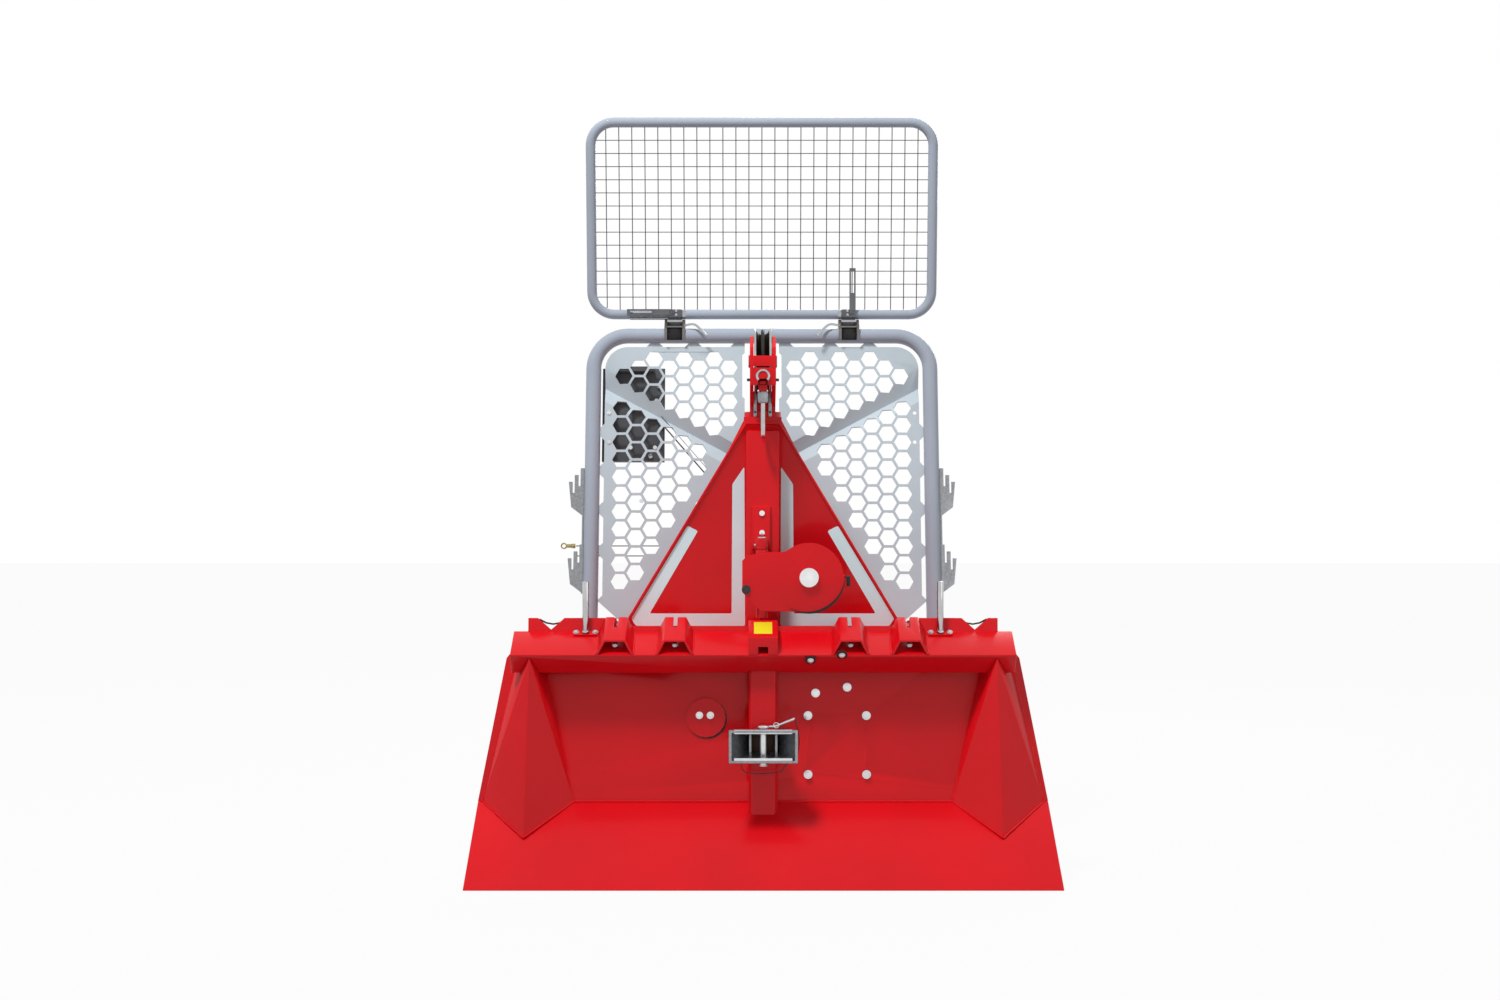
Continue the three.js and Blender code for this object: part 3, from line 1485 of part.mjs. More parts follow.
function lowerGuardPanel() {
  const flat = plateXZ(panelOutline(), -panelThickness / 2, panelThickness / 2, hexHoles());
  flat.deleteAttribute("normal");
  flat.deleteAttribute("uv");
  const merged = mergeVertices(flat, weldTolerance);
  const place = merged.attributes.position;
  const index = Array.from(merged.index.array);
  let mesh = {
    points: Array.from({ length: place.count }, (_, i) => [place.getX(i), place.getY(i), place.getZ(i)]),
    faces: Array.from({ length: index.length / 3 }, (_, i) => index.slice(3 * i, 3 * i + 3)),
  };
  mesh = creased(mesh, (x) => x);
  creases.forEach((crease) => {
    mesh = creased(mesh, (x, z) => z - crease(x));
  });
  const folded = new THREE.BufferGeometry();
  const bent = mesh.points.flatMap(([x, y, z]) => [x, y + grooveAt(x, z), z]);
  folded.setAttribute("position", new THREE.BufferAttribute(new Float32Array(bent), 3));
  folded.setIndex(mesh.faces.flat());
  return leaned(folded);
}

// Three upright fingers, each lower than the one inside it, with a slot between them
function combs(sign) {
  const root = guardHalfWidth + gap;
  const pitch = combFinger + combSlotWidth;
  const comb = (low) => {
    const fingers = [2, 1, 0].flatMap((i) => {
      const inner = root + i * pitch;
      const top = low + combHeight - i * combStep;
      const tips = [[inner + combFinger, top], [inner, top]];
      const floor = top - combSlotDepth;
      return i === 0 ? tips : [...tips, [inner, floor], [inner - combSlotWidth, floor]];
    });
    return [[root, low], [root + combHeelReach, low + combHeelHeight], ...fingers];
  };
  const side = (points) => points.map(([x, z]) => [sign * x, z]);
  const plate = (points) => leaned(plateXZ(side(points), -combThickness / 2, combThickness / 2));
  const spine = root + combThickness;
  const strip = [
    [root, combLower], [spine, combLower], [spine, combUpper + combHeight],
    [root, combUpper + combHeight],
  ];
  return join(plate(comb(combLower)), plate(comb(combUpper)), plate(strip));
}

function sheetHolder() {
  const back = holderFront + holderDepth;
  const shell = cut(
    block(holderLeft, holderRight, holderFront, back, holderBottom, holderTop),
    block(
      holderLeft + holderWall, holderRight - holderWall, holderFront + holderWall, back - holderWall,
      holderBottom + holderWall, holderTop + overrun,
    ),
  );
  const half = holderRibWidth / 2;
  const rib = block(
    holderRibX - half, holderRibX + half, panelThickness / 2 + gap, holderFront + gap,
    holderTop - holderRibHeight, holderTop,
  );
  const shape = join(shell, rib).getMesh();
  const geometry = new THREE.BufferGeometry();
  geometry.setAttribute("position", new THREE.BufferAttribute(new Float32Array(shape.vertProperties), 3));
  geometry.setIndex(new THREE.BufferAttribute(new Uint32Array(shape.triVerts), 1));
  return leaned(geometry);
}

// Clevis on the top tube of the lower guard, with the hinge pin
function clevis(sign) {
  const half = hingeWidth / 2;
  const side = [
    [clevisFrontY, clevisBottomZ], [hingeY - hingePinRadius, clevisBottomZ], [
      hingeY + hingeEyeReach, hingeZ - hingePinRadius,
    ],
    [hingeY + hingeEyeReach, clevisTopZ], [topTubeY + hingePinRadius, clevisTopZ], [
      clevisFrontY, clevisShoulderZ,
    ],
  ];
  const x = sign * hingeX;
  const tubeSpace = rodAcross(
    x - half - overrun, x + half + overrun, topTubeY, topTubeZ,
    2 * gap + guardTubeOuter / Math.cos(Math.PI / smallSides),
  );
  const plates = cut(join(
    plateYZ(side, x - half, x - half + hingePlate),
    plateYZ(side, x + half - hingePlate, x + half),
    rodAcross(
      x - half, x + half, clevisFrontY + hingePinRadius * 2, clevisShoulderZ + hingePinRadius,
      hingePinRadius / 2,
    ),
  ), tubeSpace);
  return join(plates, rodAcross(x - half, x + half, hingeY, hingeZ, hingePinRadius));
}

piece("lower_guard_tube", lowerGuardTube(), greyPaint);
piece("lower_guard_panel", lowerGuardPanel(), greyPaint);
leftAndRight((side, sign) => piece("comb_bracket_" + side, combs(sign), zinc));
piece("sheet_holder", sheetHolder(), plastic);
leftAndRight((side, sign) => piece("hinge_clevis_" + side, clevis(sign), greyPaint));

// Upper guard, drawn upright from its bottom tube and then leaned back towards the blade
const upperTubeX = guardHalfWidth - upperTubeRadius;
const upper = (geometry) =>
  geometry.rotateX((upperLean * Math.PI) / 180).translate(0, upperFootY, upperFootZ);

function upperGuardFrame() {
  const middle = upperHeight / 2;
  const bend = upperCorner - upperTubeRadius;
  const route = archRoute(upperTubeX, middle - overrun, upperHeight, bend);
  const topHalf = tube(route, upperTubeRadius);
  const bottomHalf = tube(route.map(([x, y, z]) => [x, y, upperHeight - z]), upperTubeRadius);
  const half = hingeWidth / 2 - hingePlate - hingePlay;
  const arms = [-1, 1].map((sign) => join(
    block(
      sign * hingeX - half, sign * hingeX + half, hingeBlockFrontY, hingeBlockBackY, hingeBlockZ,
      hingeBlockTopZ,
    ),
    block(
      sign * hingeX - half, sign * hingeX + half, hingeY - hingePinRadius - hingePlate / 2,
      hingeY + hingePinRadius + hingePlate / 2, hingeZ, hingeBlockZ + overrun,
    ),
    rodAcross(
      sign * hingeX - half, sign * hingeX + half, hingeY, hingeZ, hingePinRadius + hingePlate / 2 + gap,
    ),
    rodY(
      latchX(sign), hingeBlockFrontY - latchThickness - 2 * gap, hingeBlockFrontY + overrun, latchZ,
      latchPinRadius,
    ),
  ));
  const bores = [-1, 1].map((sign) => rodAcross(
    sign * hingeX - hingeWidth / 2, sign * hingeX + hingeWidth / 2, hingeY, hingeZ, seat(hingePinRadius),
  ));
  return cut(join(upper(topHalf), upper(bottomHalf), ...arms), ...bores);
}

const latchX = (sign) => sign * (hingeX + latchPivotSpread);

function upperGuardMesh() {
  const half = upperTubeX - upperTubeRadius - gap;
  const low = upperTubeRadius + gap;
  const high = upperHeight - low;
  const corner = upperCorner - 2 * upperTubeRadius;
  const wire = meshWire / 2;
  const rounded = (inset) => [0, 1, 2, 3].flatMap((i) => {
    const x = i === 0 || i === 3 ? half - corner : corner - half;
    const z = i < 2 ? high - corner : low + corner;
    return bendPoints(x, z, corner - inset, (i * Math.PI) / 2, ((i + 1) * Math.PI) / 2).map(
      ([a, , b]) => [a, b],
    );
  });
  const rim = plateXZ(rounded(0), -wire, wire, [rounded(meshWire)]);
  const bars = [];
  for (let i = 0; i < meshColumns; i++) {
    const x = (i - (meshColumns - 1) / 2) * meshPitch;
    bars.push(block(x - wire, x + wire, -wire, wire, low, high));
  }
  for (let i = 0; i < meshRows; i++) {
    const z = upperHeight / 2 + (i - (meshRows - 1) / 2) * meshPitch;
    bars.push(block(-half, half, -wire, wire, z - wire, z + wire));
  }
  const whole = plateXZ(rounded(0), -wire, wire);
  const made = join(rim, common(join(...bars), whole)).getMesh();
  const geometry = new THREE.BufferGeometry();
  geometry.setAttribute("position", new THREE.BufferAttribute(new Float32Array(made.vertProperties), 3));
  geometry.setIndex(new THREE.BufferAttribute(new Uint32Array(made.triVerts), 1));
  return upper(geometry);
}

// Latch lever, drawn upright above its pin; the left one lies open
function latch(sign, turn) {
  const half = latchHeight / 2;
  const body = cut(
    join(
      block(-half, half, 0, latchThickness, 0, latchLength),
      rodY(0, 0, latchThickness, 0, half),
    ),
    rodY(0, -overrun, latchThickness + overrun, 0, seat(latchPinRadius)),
    block(
      -half / 2, half / 2, -overrun, latchThickness + overrun, latchLength - latchSlot - half,
      latchLength - half,
    ),
  ).getMesh();
  const geometry = new THREE.BufferGeometry();
  geometry.setAttribute("position", new THREE.BufferAttribute(new Float32Array(body.vertProperties), 3));
  geometry.setIndex(new THREE.BufferAttribute(new Uint32Array(body.triVerts), 1));
  return geometry.rotateY(turn).translate(latchX(sign), hingeBlockFrontY - gap - latchThickness, latchZ);
}

piece("upper_guard_frame", upperGuardFrame(), greyPaint);
piece("upper_guard_mesh", upperGuardMesh(), greyPaint);
piece("latch_lever_left", latch(-1, -Math.PI / 2), zinc);
piece("latch_lever_right", latch(1, 0), zinc);

export default winch;
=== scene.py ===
"""A tractor forestry winch on its CAD frame: painted and galvanised steel, wire rope and rubber."""
import math

import bpy
from mathutils import Matrix, Vector


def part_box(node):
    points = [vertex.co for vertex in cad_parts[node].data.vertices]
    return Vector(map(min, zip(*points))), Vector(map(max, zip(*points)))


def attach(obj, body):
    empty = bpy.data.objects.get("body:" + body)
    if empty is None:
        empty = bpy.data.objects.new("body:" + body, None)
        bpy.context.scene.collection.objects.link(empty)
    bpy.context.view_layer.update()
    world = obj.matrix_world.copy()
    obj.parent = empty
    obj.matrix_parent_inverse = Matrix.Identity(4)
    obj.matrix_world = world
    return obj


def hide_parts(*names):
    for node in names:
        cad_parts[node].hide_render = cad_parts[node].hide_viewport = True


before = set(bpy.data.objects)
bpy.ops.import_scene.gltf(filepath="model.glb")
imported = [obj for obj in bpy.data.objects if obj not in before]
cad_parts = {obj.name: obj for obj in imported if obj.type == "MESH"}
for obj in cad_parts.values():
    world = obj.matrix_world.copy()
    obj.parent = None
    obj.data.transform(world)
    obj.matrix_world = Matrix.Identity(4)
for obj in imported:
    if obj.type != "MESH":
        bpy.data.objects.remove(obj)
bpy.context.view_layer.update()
scene = bpy.context.scene

# Camera
# Level, a little left of the mast and 6.2 m in front of it, with a 50 mm lens on a 36 mm sensor.
CAMERA_PLACE = (-0.0381, -6.32, 1.1035)


def new_piece(name, data):
    piece = bpy.data.objects.new(name, data)
    scene.collection.objects.link(piece)
    return piece


camera = new_piece("photo_camera", bpy.data.cameras.new("photo_camera"))
camera.data.lens = 50
camera.data.sensor_width = 36
camera.location = CAMERA_PLACE
camera.rotation_euler = (math.radians(90), 0, 0)
scene.camera = camera
scene.view_settings.view_transform = "Standard"

# Floor, backdrop and light
# A white studio: the world and the floor show white to the camera and in reflections, and the floor
# keeps a soft shadow. A wide lamp hangs high at the left in front, with weaker ones at the right and behind.
WHITE = (1, 1, 1, 1)
WORLD_LIGHT = 0.34
FLOOR_SIZE = 60
FLOOR_GREY = (0.5, 0.5, 0.5, 1)
FLOOR_GLOW_SHARE = 0.95
LAMPS = [
    ("key_lamp", (-1.8, -2.8, 7.0), 1.1, 380),
    ("fill_lamp", (4.2, -3.6, 2.4), 2.6, 20),
    ("back_lamp", (1.5, 4.6, 4.0), 3.0, 110),
]
LAMP_AIM = Vector((0, 0, 0.9))


def feed(node, inputs):
    """Sets inputs of a node to values, or links them to outputs of other nodes."""
    for key, value in inputs.items():
        if isinstance(value, bpy.types.NodeSocket):
            node.id_data.links.new(value, node.inputs[key])
        else:
            node.inputs[key].default_value = value
    return node


def add_node(tree, kind, inputs, **settings):
    node = tree.nodes.new("ShaderNode" + kind)
    for key, value in settings.items():
        setattr(node, key, value)
    return feed(node, inputs)


def show_white(tree, output, plain, white, share):
    """Shows a share of a white shader to the camera, reflections and glass, and the plain one elsewhere."""
    path = add_node(tree, "LightPath", {}).outputs
    seen = path["Is Camera Ray"]
    for name in ("Is Glossy Ray", "Is Transmission Ray"):
        seen = add_node(tree, "Math", {0: seen, 1: path[name]}, operation="MAXIMUM").outputs[0]
    part = add_node(tree, "Math", {0: seen, 1: share}, operation="MULTIPLY").outputs[0]
    mix = add_node(tree, "MixShader", {0: part, 1: plain.outputs[0], 2: white.outputs[0]})
    feed(tree.nodes[output], {0: mix.outputs[0]})


world = bpy.data.worlds.new("studio")
world.use_nodes = True
scene.world = world
tree = world.node_tree
soft = feed(tree.nodes["Background"], {"Strength": WORLD_LIGHT, "Color": WHITE})
show_white(tree, "World Output", soft, add_node(tree, "Background", {"Color": WHITE}), 1)

bpy.ops.mesh.primitive_plane_add(size=FLOOR_SIZE, location=(0, 0, 0))
floor = bpy.context.object
floor.name = "studio_floor"
floor_paint = bpy.data.materials.new("floor_white")
floor_paint.use_nodes = True
tree = floor_paint.node_tree
matte = feed(tree.nodes["Principled BSDF"], {"Base Color": FLOOR_GREY, "Roughness": 0.9})
show_white(tree, "Material Output", matte, add_node(tree, "Emission", {}), FLOOR_GLOW_SHARE)
floor.data.materials.append(floor_paint)

for name, place, size, power in LAMPS:
    lamp = new_piece(name, bpy.data.lights.new(name, "AREA"))
    lamp.data.size = size
    lamp.data.energy = power
    lamp.location = place
    lamp.rotation_euler = (LAMP_AIM - Vector(place)).to_track_quat("-Z", "Y").to_euler()
    lamp.visible_glossy = name != "key_lamp"

# Toe plate and back plate of the blade
# Flat steel plates welded at the crease and sprayed in gloss red. Their edges are rounded by the grinder
# and the paint has a faint orange peel.
PLATE_ROUNDING = 0.0022
MERGE = 0.00002
FLAT_ANGLE = math.radians(0.6)
EDGE_ANGLE = math.radians(28)


def new_material(name):
    """A material, its node tree, its shader, and the place on the piece that its textures follow."""
    material = bpy.data.materials.new(name)
    material.use_nodes = True
    tree = material.node_tree
    return material, tree, tree.nodes["Principled BSDF"], add_node(tree, "TexCoord", {}).outputs["Object"]


def noise(tree, place, scale, detail=2):
    return add_node(tree, "TexNoise", {"Vector": place, "Scale": scale, "Detail": detail}).outputs["Fac"]


def vary(shader, pattern, colour, stops, shades, roughness, shares):
    """Lets a pattern move a shader's tone between two shades and its roughness between two shares."""
    ramp = add_node(shader.id_data, "ValToRGB", {"Fac": pattern})
    for element, stop, shade in zip(ramp.color_ramp.elements, stops, shades):
        element.position = stop
        element.color = (*[min(1, c * shade) for c in colour], 1)
    reach = {"Value": pattern, "To Min": roughness * shares[0], "To Max": roughness * shares[1]}
    rough = add_node(shader.id_data, "MapRange", reach)
    feed(shader, {"Base Color": ramp.outputs["Color"], "Roughness": rough.outputs["Result"]})


def relief(shader, pattern, strength, distance):
    bump = add_node(shader.id_data, "Bump", {"Height": pattern, "Strength": strength, "Distance": distance})
    feed(shader, {"Normal": bump.outputs["Normal"]})


def paint(name, colour, roughness, coat, peel=0.05, speck=0.0, gloss=0.22, slot="red_paint"):
    """Sprayed paint, with its slot: the tone drifts over the plate, and a fine noise gives orange peel."""
    material, tree, shader, place = new_material(name)
    shades = (0.9 - speck, 1.06 + speck)
    vary(shader, noise(tree, place, 2.4, 5), colour, (0.3, 0.72), shades, roughness, (0.85, 1.2))
    relief(shader, noise(tree, place, 330), peel, 0.001)
    feed(shader, {"Specular IOR Level": gloss, "Coat Weight": coat, "Coat Roughness": 0.08})
    return material, slot


def choose(*pieces):
    """Selects pieces and nothing else, and makes the first one active."""
    bpy.ops.object.select_all(action="DESELECT")
    for piece in pieces:
        piece.select_set(True)
    bpy.context.view_layer.objects.active = pieces[0]


def edit(piece):
    """Opens a piece alone in edit mode with all of it selected."""
    choose(piece)
    bpy.ops.object.mode_set(mode="EDIT")
    bpy.ops.mesh.select_all(action="SELECT")


def done():
    bpy.ops.object.mode_set(mode="OBJECT")


def clean(piece, merge=True, flatten=False, outward=True):
    """Closes a mesh's seams, makes its flat faces whole or turns its faces outwards."""
    edit(piece)
    if merge:
        bpy.ops.mesh.remove_doubles(threshold=MERGE)
    if flatten:
        bpy.ops.mesh.dissolve_limited(angle_limit=FLAT_ANGLE)
    if outward:
        bpy.ops.mesh.normals_make_consistent(inside=False)
    done()


def modify(piece, kind, **settings):
    """Adds a modifier to a piece and applies it."""
    choose(piece)
    modifier = piece.modifiers.new("work", kind)
    for key, value in settings.items():
        setattr(modifier, key, value)
    bpy.ops.object.modifier_apply(modifier="work")


def finish_edges(piece, width, steps=2, angle=EDGE_ANGLE):
    """Rounds the sharp edges of a piece and shades its faces smooth up to them."""
    if width:
        modify(piece, "BEVEL", width=width, segments=steps, limit_method="ANGLE", angle_limit=angle)
    choose(piece)
    bpy.ops.object.shade_smooth_by_angle(angle=EDGE_ANGLE)
    return piece


def joined(pieces):
    choose(*pieces)
    if len(pieces) > 1:
        bpy.ops.object.join()
    return pieces[0]


def dress(name, pieces, finish, body="frame", *nodes, slot=None):
    """Joins pieces and gives them a finish, the body that they ride on and the CAD nodes they stand for."""
    material, own_slot = finish
    piece = joined(pieces) if isinstance(pieces, list) else pieces
    piece.name = name
    piece.data.name = name
    piece.data.materials.clear()
    piece.data.materials.append(material)
    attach(piece, body)
    if nodes:
        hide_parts(*nodes)


def eased(node, name, width, finish, body="frame", steps=2, slot=None):
    """A plate or casting as its CAD node has it, with its flat faces whole again and its edges rounded."""
    piece = new_piece(name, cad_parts[node].data.copy())
    clean(piece, flatten=True, outward=False)
    finish_edges(piece, width, steps)
    dress(name, piece, finish, body, node, slot=slot)


red = paint("red_gloss_paint", (0.72, 0.004, 0.01), 0.3, 0.12)
eased("toe_plate", "blade_toe_plate", PLATE_ROUNDING, red)
eased("back_plate", "blade_back_plate", PLATE_ROUNDING / 2, red)
eased("hood", "blade_hood", PLATE_ROUNDING, red, steps=3)

# Corner gussets and their weld beads
# Folded sheet gussets brace the blade's ends. A painted fillet weld runs along each seam of the blade.
SIDES = (("left", -1), ("right", 1))
WELD_RADIUS = 0.0032
WELD_STEP = 0.012
WELD_RIPPLE = 0.16
SEAM_LIFT = 0.001
CREASE_Z = 0.224
PLATE_FOOT_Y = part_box("back_plate")[0].y
PLATE_LEAN = 34 / 533
TOE_LEAN = (PLATE_FOOT_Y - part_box("toe_plate")[0].y) / CREASE_Z
GUSSET_TIP = (0.691, PLATE_FOOT_Y - TOE_LEAN * (CREASE_Z - 0.128) - 0.002, 0.132)
GUSSET_CORNERS = [(0.552, CREASE_Z), (0.819, CREASE_Z), (0.643, 0.598), (0.738, 0.585)]
CREASE_ENDS = (-0.55, -0.046, 0.046, 0.55)


def on_plate(x, z, lift=0.0):
    """A place on the front of the back plate, or a little before it."""
    return (x, PLATE_FOOT_Y + PLATE_LEAN * (z - CREASE_Z) - lift, z)


def from_curve(lines, closed, rough=0.0, **settings):
    """A mesh from a curve through each line of points; rough swells it from point to point."""
    data = bpy.data.curves.new("curve", "CURVE")
    for key, value in settings.items():
        setattr(data, key, value)
    for line in lines:
        spline = data.splines.new("POLY")
        spline.points.add(len(line) - 1)
        for i, (point, place) in enumerate(zip(spline.points, line)):
            point.co = (*place, 1)
            point.radius = 1 + rough * math.sin(i * 2.1)
        spline.use_cyclic_u = closed
    piece = new_piece("curve", data)
    choose(piece)
    bpy.ops.object.convert(target="MESH")
    return piece


def tube(points, radius, sides=12, closed=False, rough=0.0):
    """A round bar or tube along points."""
    round_shape = {"bevel_depth": radius, "bevel_resolution": max(1, sides // 4 - 1)}
    piece = from_curve([points], closed, rough, dimensions="3D", use_fill_caps=not closed, **round_shape)
    clean(piece)
    return finish_edges(piece, 0)


def between(a, b, step):
    a, b = Vector(a), Vector(b)
    count = max(2, round((b - a).length / step))
    return [a.lerp(b, i / count) for i in range(count + 1)]


def weld(name, *seams):
    """A bead along straight seams, rippled as the torch leaves it."""
    beads = [tube(between(a, b, WELD_STEP), WELD_RADIUS, 8, rough=WELD_RIPPLE) for a, b in seams]
    dress(name, beads, red)


for side, sign in SIDES:
    eased("corner_gusset_" + side, "blade_gusset_" + side, PLATE_ROUNDING, red)
    tip = (sign * GUSSET_TIP[0], *GUSSET_TIP[1:])
    inner, outer, inner_top, outer_top = (on_plate(sign * x, z, SEAM_LIFT) for x, z in GUSSET_CORNERS)
    weld("gusset_weld_" + side, (tip, inner), (tip, outer), (inner, inner_top), (outer, outer_top))
seam = [on_plate(x, CREASE_Z, SEAM_LIFT) for x in CREASE_ENDS]
weld("crease_weld", seam[:2], seam[2:])

# Bolts of the back plate
# Zinc-plated hex screws hold the bearing, the shaft's cover and the brackets behind the plate. Two more
# stand in black rings on the hood's lip, and a thin dark strap sits in the notch of each upper corner.
UP, RIGHT, BACK, FRONT = (0, 0, 1), (1, 0, 0), (0, 1, 0), (0, -1, 0)
PLATE_OUT = Vector((0, -1, PLATE_LEAN))
PLATE_BOLT, COVER_BOLT, LIP_BOLT = (0.0102, 0.009), (0.0086, 0.008), (0.0078, 0.006)
BEARING_BOLTS = [(0.1315, 0.4725), (0.3025, 0.4725), (0.1315, 0.3015), (0.3025, 0.3015)]
BRACKET_BOLTS = [(0.154, 0.538), (0.2465, 0.555)]
COVER_SCREWS = [(-0.186, 0.474), (-0.154, 0.474)]
COVER_THICKNESS = 0.008
BOLT_LIFT = 0.0003
LIP_OUT = Vector((0, -0.781, -0.625))
LIP_PLACES = [Vector((0.1365, -0.3088, 0.6428)), Vector((0.2268, -0.3218, 0.659))]
LIP_RING_HEIGHT = 0.004
STRAP_STEP, STRAP_SAG = 0.0205, 0.0036
NOTCH_MIDDLE = (0.616, on_plate(0, 0.7535)[1] + 0.004, 0.739)


def metal(name, colour, roughness, spangle=0.0, brushed=0.0, slot="zinc"):
    """Bare or plated steel: cloudy roughness, with the flakes of hot-dip zinc or fine turning lines."""
    material, tree, shader, place = new_material(name)
    flakes = add_node(tree, "TexVoronoi", {"Vector": place, "Scale": 130}).outputs["Distance"]
    blend = add_node(tree, "Mix", {"Factor": spangle, "A": noise(tree, place, 22, 6), "B": flakes})
    vary(shader, blend.outputs["Result"], colour, (0.25, 0.75), (0.78, 1.1), roughness, (0.7, 1.35))
    shader.inputs["Metallic"].default_value = 1
    if brushed:
        relief(shader, noise(tree, place, 900), brushed, 0.0004)
    return material, slot


def rubber(name, colour, roughness):
    """Black rubber or moulded plastic with a dusty, finely pitted skin."""
    return paint(name, colour, roughness, 0, peel=0.25, speck=0.1, gloss=0.35, slot="black_plastic")


def settle(piece):
    """Puts a piece's place into its mesh, so that its object sits at the origin."""
    choose(piece)
    bpy.ops.object.transform_apply(location=True, rotation=True, scale=True)
    return piece


def disc(place, axis, radius, height, sides, rounding):
    """A round or hexagonal disc standing at a place along an axis."""
    turn = Vector(UP).rotation_difference(Vector(axis)).to_euler()
    middle = Vector(place) + Vector(axis).normalized() * height / 2
    size = {"vertices": sides, "radius": radius, "depth": height}
    bpy.ops.mesh.primitive_cylinder_add(location=middle, rotation=turn, **size)
    return finish_edges(settle(bpy.context.object), rounding, 2, math.radians(50))


def hex_bolt(place, axis, radius, height):
    """A hex head on its washer face, with the rounded crown that the forging leaves."""
    place, axis = Vector(place), Vector(axis).normalized()
    return joined([
        disc(place, axis, radius * 1.25, height * 0.22, 32, 0.0004),
        disc(place + axis * height * 0.2, axis, radius, height * 0.7, 6, 0.0009),
        disc(place + axis * height * 0.88, axis, radius * 0.84, height * 0.12, 32, 0.0004),
    ])


zinc = metal("zinc_plate", (0.47, 0.475, 0.485), 0.26, brushed=0.15)
white_zinc = metal("white_zinc_plate", (0.74, 0.745, 0.755), 0.3, brushed=0.1)
strap_steel = metal("notch_strap_steel", (0.07, 0.06, 0.055), 0.5)
black_rubber = rubber("black_rubber", (0.012, 0.012, 0.013), 0.55)
places = BEARING_BOLTS + BRACKET_BOLTS
heads = [hex_bolt(on_plate(*at, BOLT_LIFT), PLATE_OUT, *PLATE_BOLT) for at in places]
cover_lift = COVER_THICKNESS + BOLT_LIFT
heads += [hex_bolt(on_plate(*at, cover_lift), PLATE_OUT, *COVER_BOLT) for at in COVER_SCREWS]
dress("back_plate_bolts", heads, white_zinc)
# A thin black disc, a little larger than the shaft's cover and set lower and to its right: painted shadow
# that the cover casts on the plate.
cover_shadow_disc = disc(on_plate(-0.1638, 0.4632), PLATE_OUT, 0.058, 0.0014, 72, 0.0003)
dress("cover_painted_shadow", cover_shadow_disc, black_rubber)
straps = []
for sign in (-1, 1):
    x, y, z = NOTCH_MIDDLE
    bow = [(sign * (x + STRAP_STEP * k), y, z + STRAP_SAG * k * k) for k in range(-2, 3)]
    straps.append(tube(bow, 0.0026))
dress("notch_straps", straps, strap_steel)
rings = [disc(place, LIP_OUT, 0.0158, LIP_RING_HEIGHT, 32, 0.0012) for place in LIP_PLACES]
dress("hood_lip_grommets", rings, black_rubber)
heads = [hex_bolt(place + LIP_OUT * LIP_RING_HEIGHT, LIP_OUT, *LIP_BOLT) for place in LIP_PLACES]
dress("hood_lip_bolts", heads, white_zinc)

# Hitch: post, funnel, pin and its clip
# A folded post carries a galvanised funnel that takes a trailer's ring. The pin is held by a spring clip,
# which hangs on a thin wire so that it is not lost.
jaw_low, jaw_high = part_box("hitch_jaw")
pin_low, pin_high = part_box("hitch_pin")
JAW_BACK = jaw_high.y - 0.0005
JAW_MIDDLE = (jaw_low.z + jaw_high.z) / 2
JAW_WALL = 0.009
THROAT_X, THROAT_Z = 0.052, 0.035
MOUTH_X, MOUTH_Z = 0.0985, 0.0475
CHEEK_X, CHEEK_Z, CHEEK_HALF = 0.0375, 0.034, 0.0035
FLANGE_BOTTOMS = (0.4335, 0.3522)
PIN_Y = -0.324
CLIP_WIRE = 0.0014
GRIP = [(0, 0.4515), (0.03, 0.4515), (0.042, 0.4545), (0.0905, 0.4745)]
LANYARD = [
    (0.0905, PIN_Y - 0.004, 0.472), (0.099, -0.334, 0.447), (0.103, -0.332, 0.4), (0.09, -0.318, 0.36),
    (0.063, -0.306, 0.336), (0.05, -0.3, 0.319), (0.004, -0.298, 0.3125), (-0.04, -0.298, 0.3135),
    (-0.058, -0.298, 0.322), (-0.0645, -0.295, 0.345),
]


def slab(low, high, rounding=0.0015):
    """A cut block with rounded edges between two corners."""
    low, high = Vector(low), Vector(high)
    bpy.ops.mesh.primitive_cube_add(size=1, location=(low + high) / 2)
    bpy.context.object.scale = high - low
    return finish_edges(settle(bpy.context.object), rounding)


def arc_points(x, z, radius, start, end, steps=14):
    points = []
    for k in range(steps + 1):
        turn = math.radians(start + (end - start) * k / steps)
        points.append((x + radius * math.cos(turn), z + radius * math.sin(turn)))
    return points


def circle(x, z, radius, count, start=0):
    return arc_points(x, z, radius, start, start + 360, count)[:-1]


def upright(points, y=0.0):
    """Points of (across, up) standing in the plane at y."""
    return [(x, y, z) for x, z in points]


def smooth_path(points, steps=6):
    """A Catmull-Rom curve through points."""
    points = [Vector(p) for p in points]
    ends = [2 * points[0] - points[1], *points, 2 * points[-1] - points[-2]]
    path = []
    for a, b, c, d in zip(ends, ends[1:], ends[2:], ends[3:]):
        for k in range(steps):
            t = k / steps
            bend = (2 * a - 5 * b + 4 * c - d) * t * t + (3 * b - a - 3 * c + d) * t ** 3
            path.append(0.5 * (2 * b + (c - a) * t + bend))
    return [*path, points[-1]]


def folded(rings, wall):
    """Walls through rings of four corners, folded from plate and welded; open at both ends."""
    mesh = bpy.data.meshes.new("folded")
    faces = []
    for r in range(0, 4 * (len(rings) - 1), 4):
        faces += [(r + i, r + j, r + j + 4, r + i + 4) for i, j in ((0, 1), (1, 2), (2, 3), (3, 0))]
    mesh.from_pydata([corner for ring in rings for corner in ring], [], faces)
    piece = new_piece("folded", mesh)
    clean(piece, merge=False)
    modify(piece, "SOLIDIFY", thickness=wall, offset=-1, use_even_offset=True)
    return finish_edges(piece, 0.0018, 3)


def jaw_ring(y, x, z):
    return [(-x, y, JAW_MIDDLE - z), (x, y, JAW_MIDDLE - z), (x, y, JAW_MIDDLE + z), (-x, y, JAW_MIDDLE + z)]


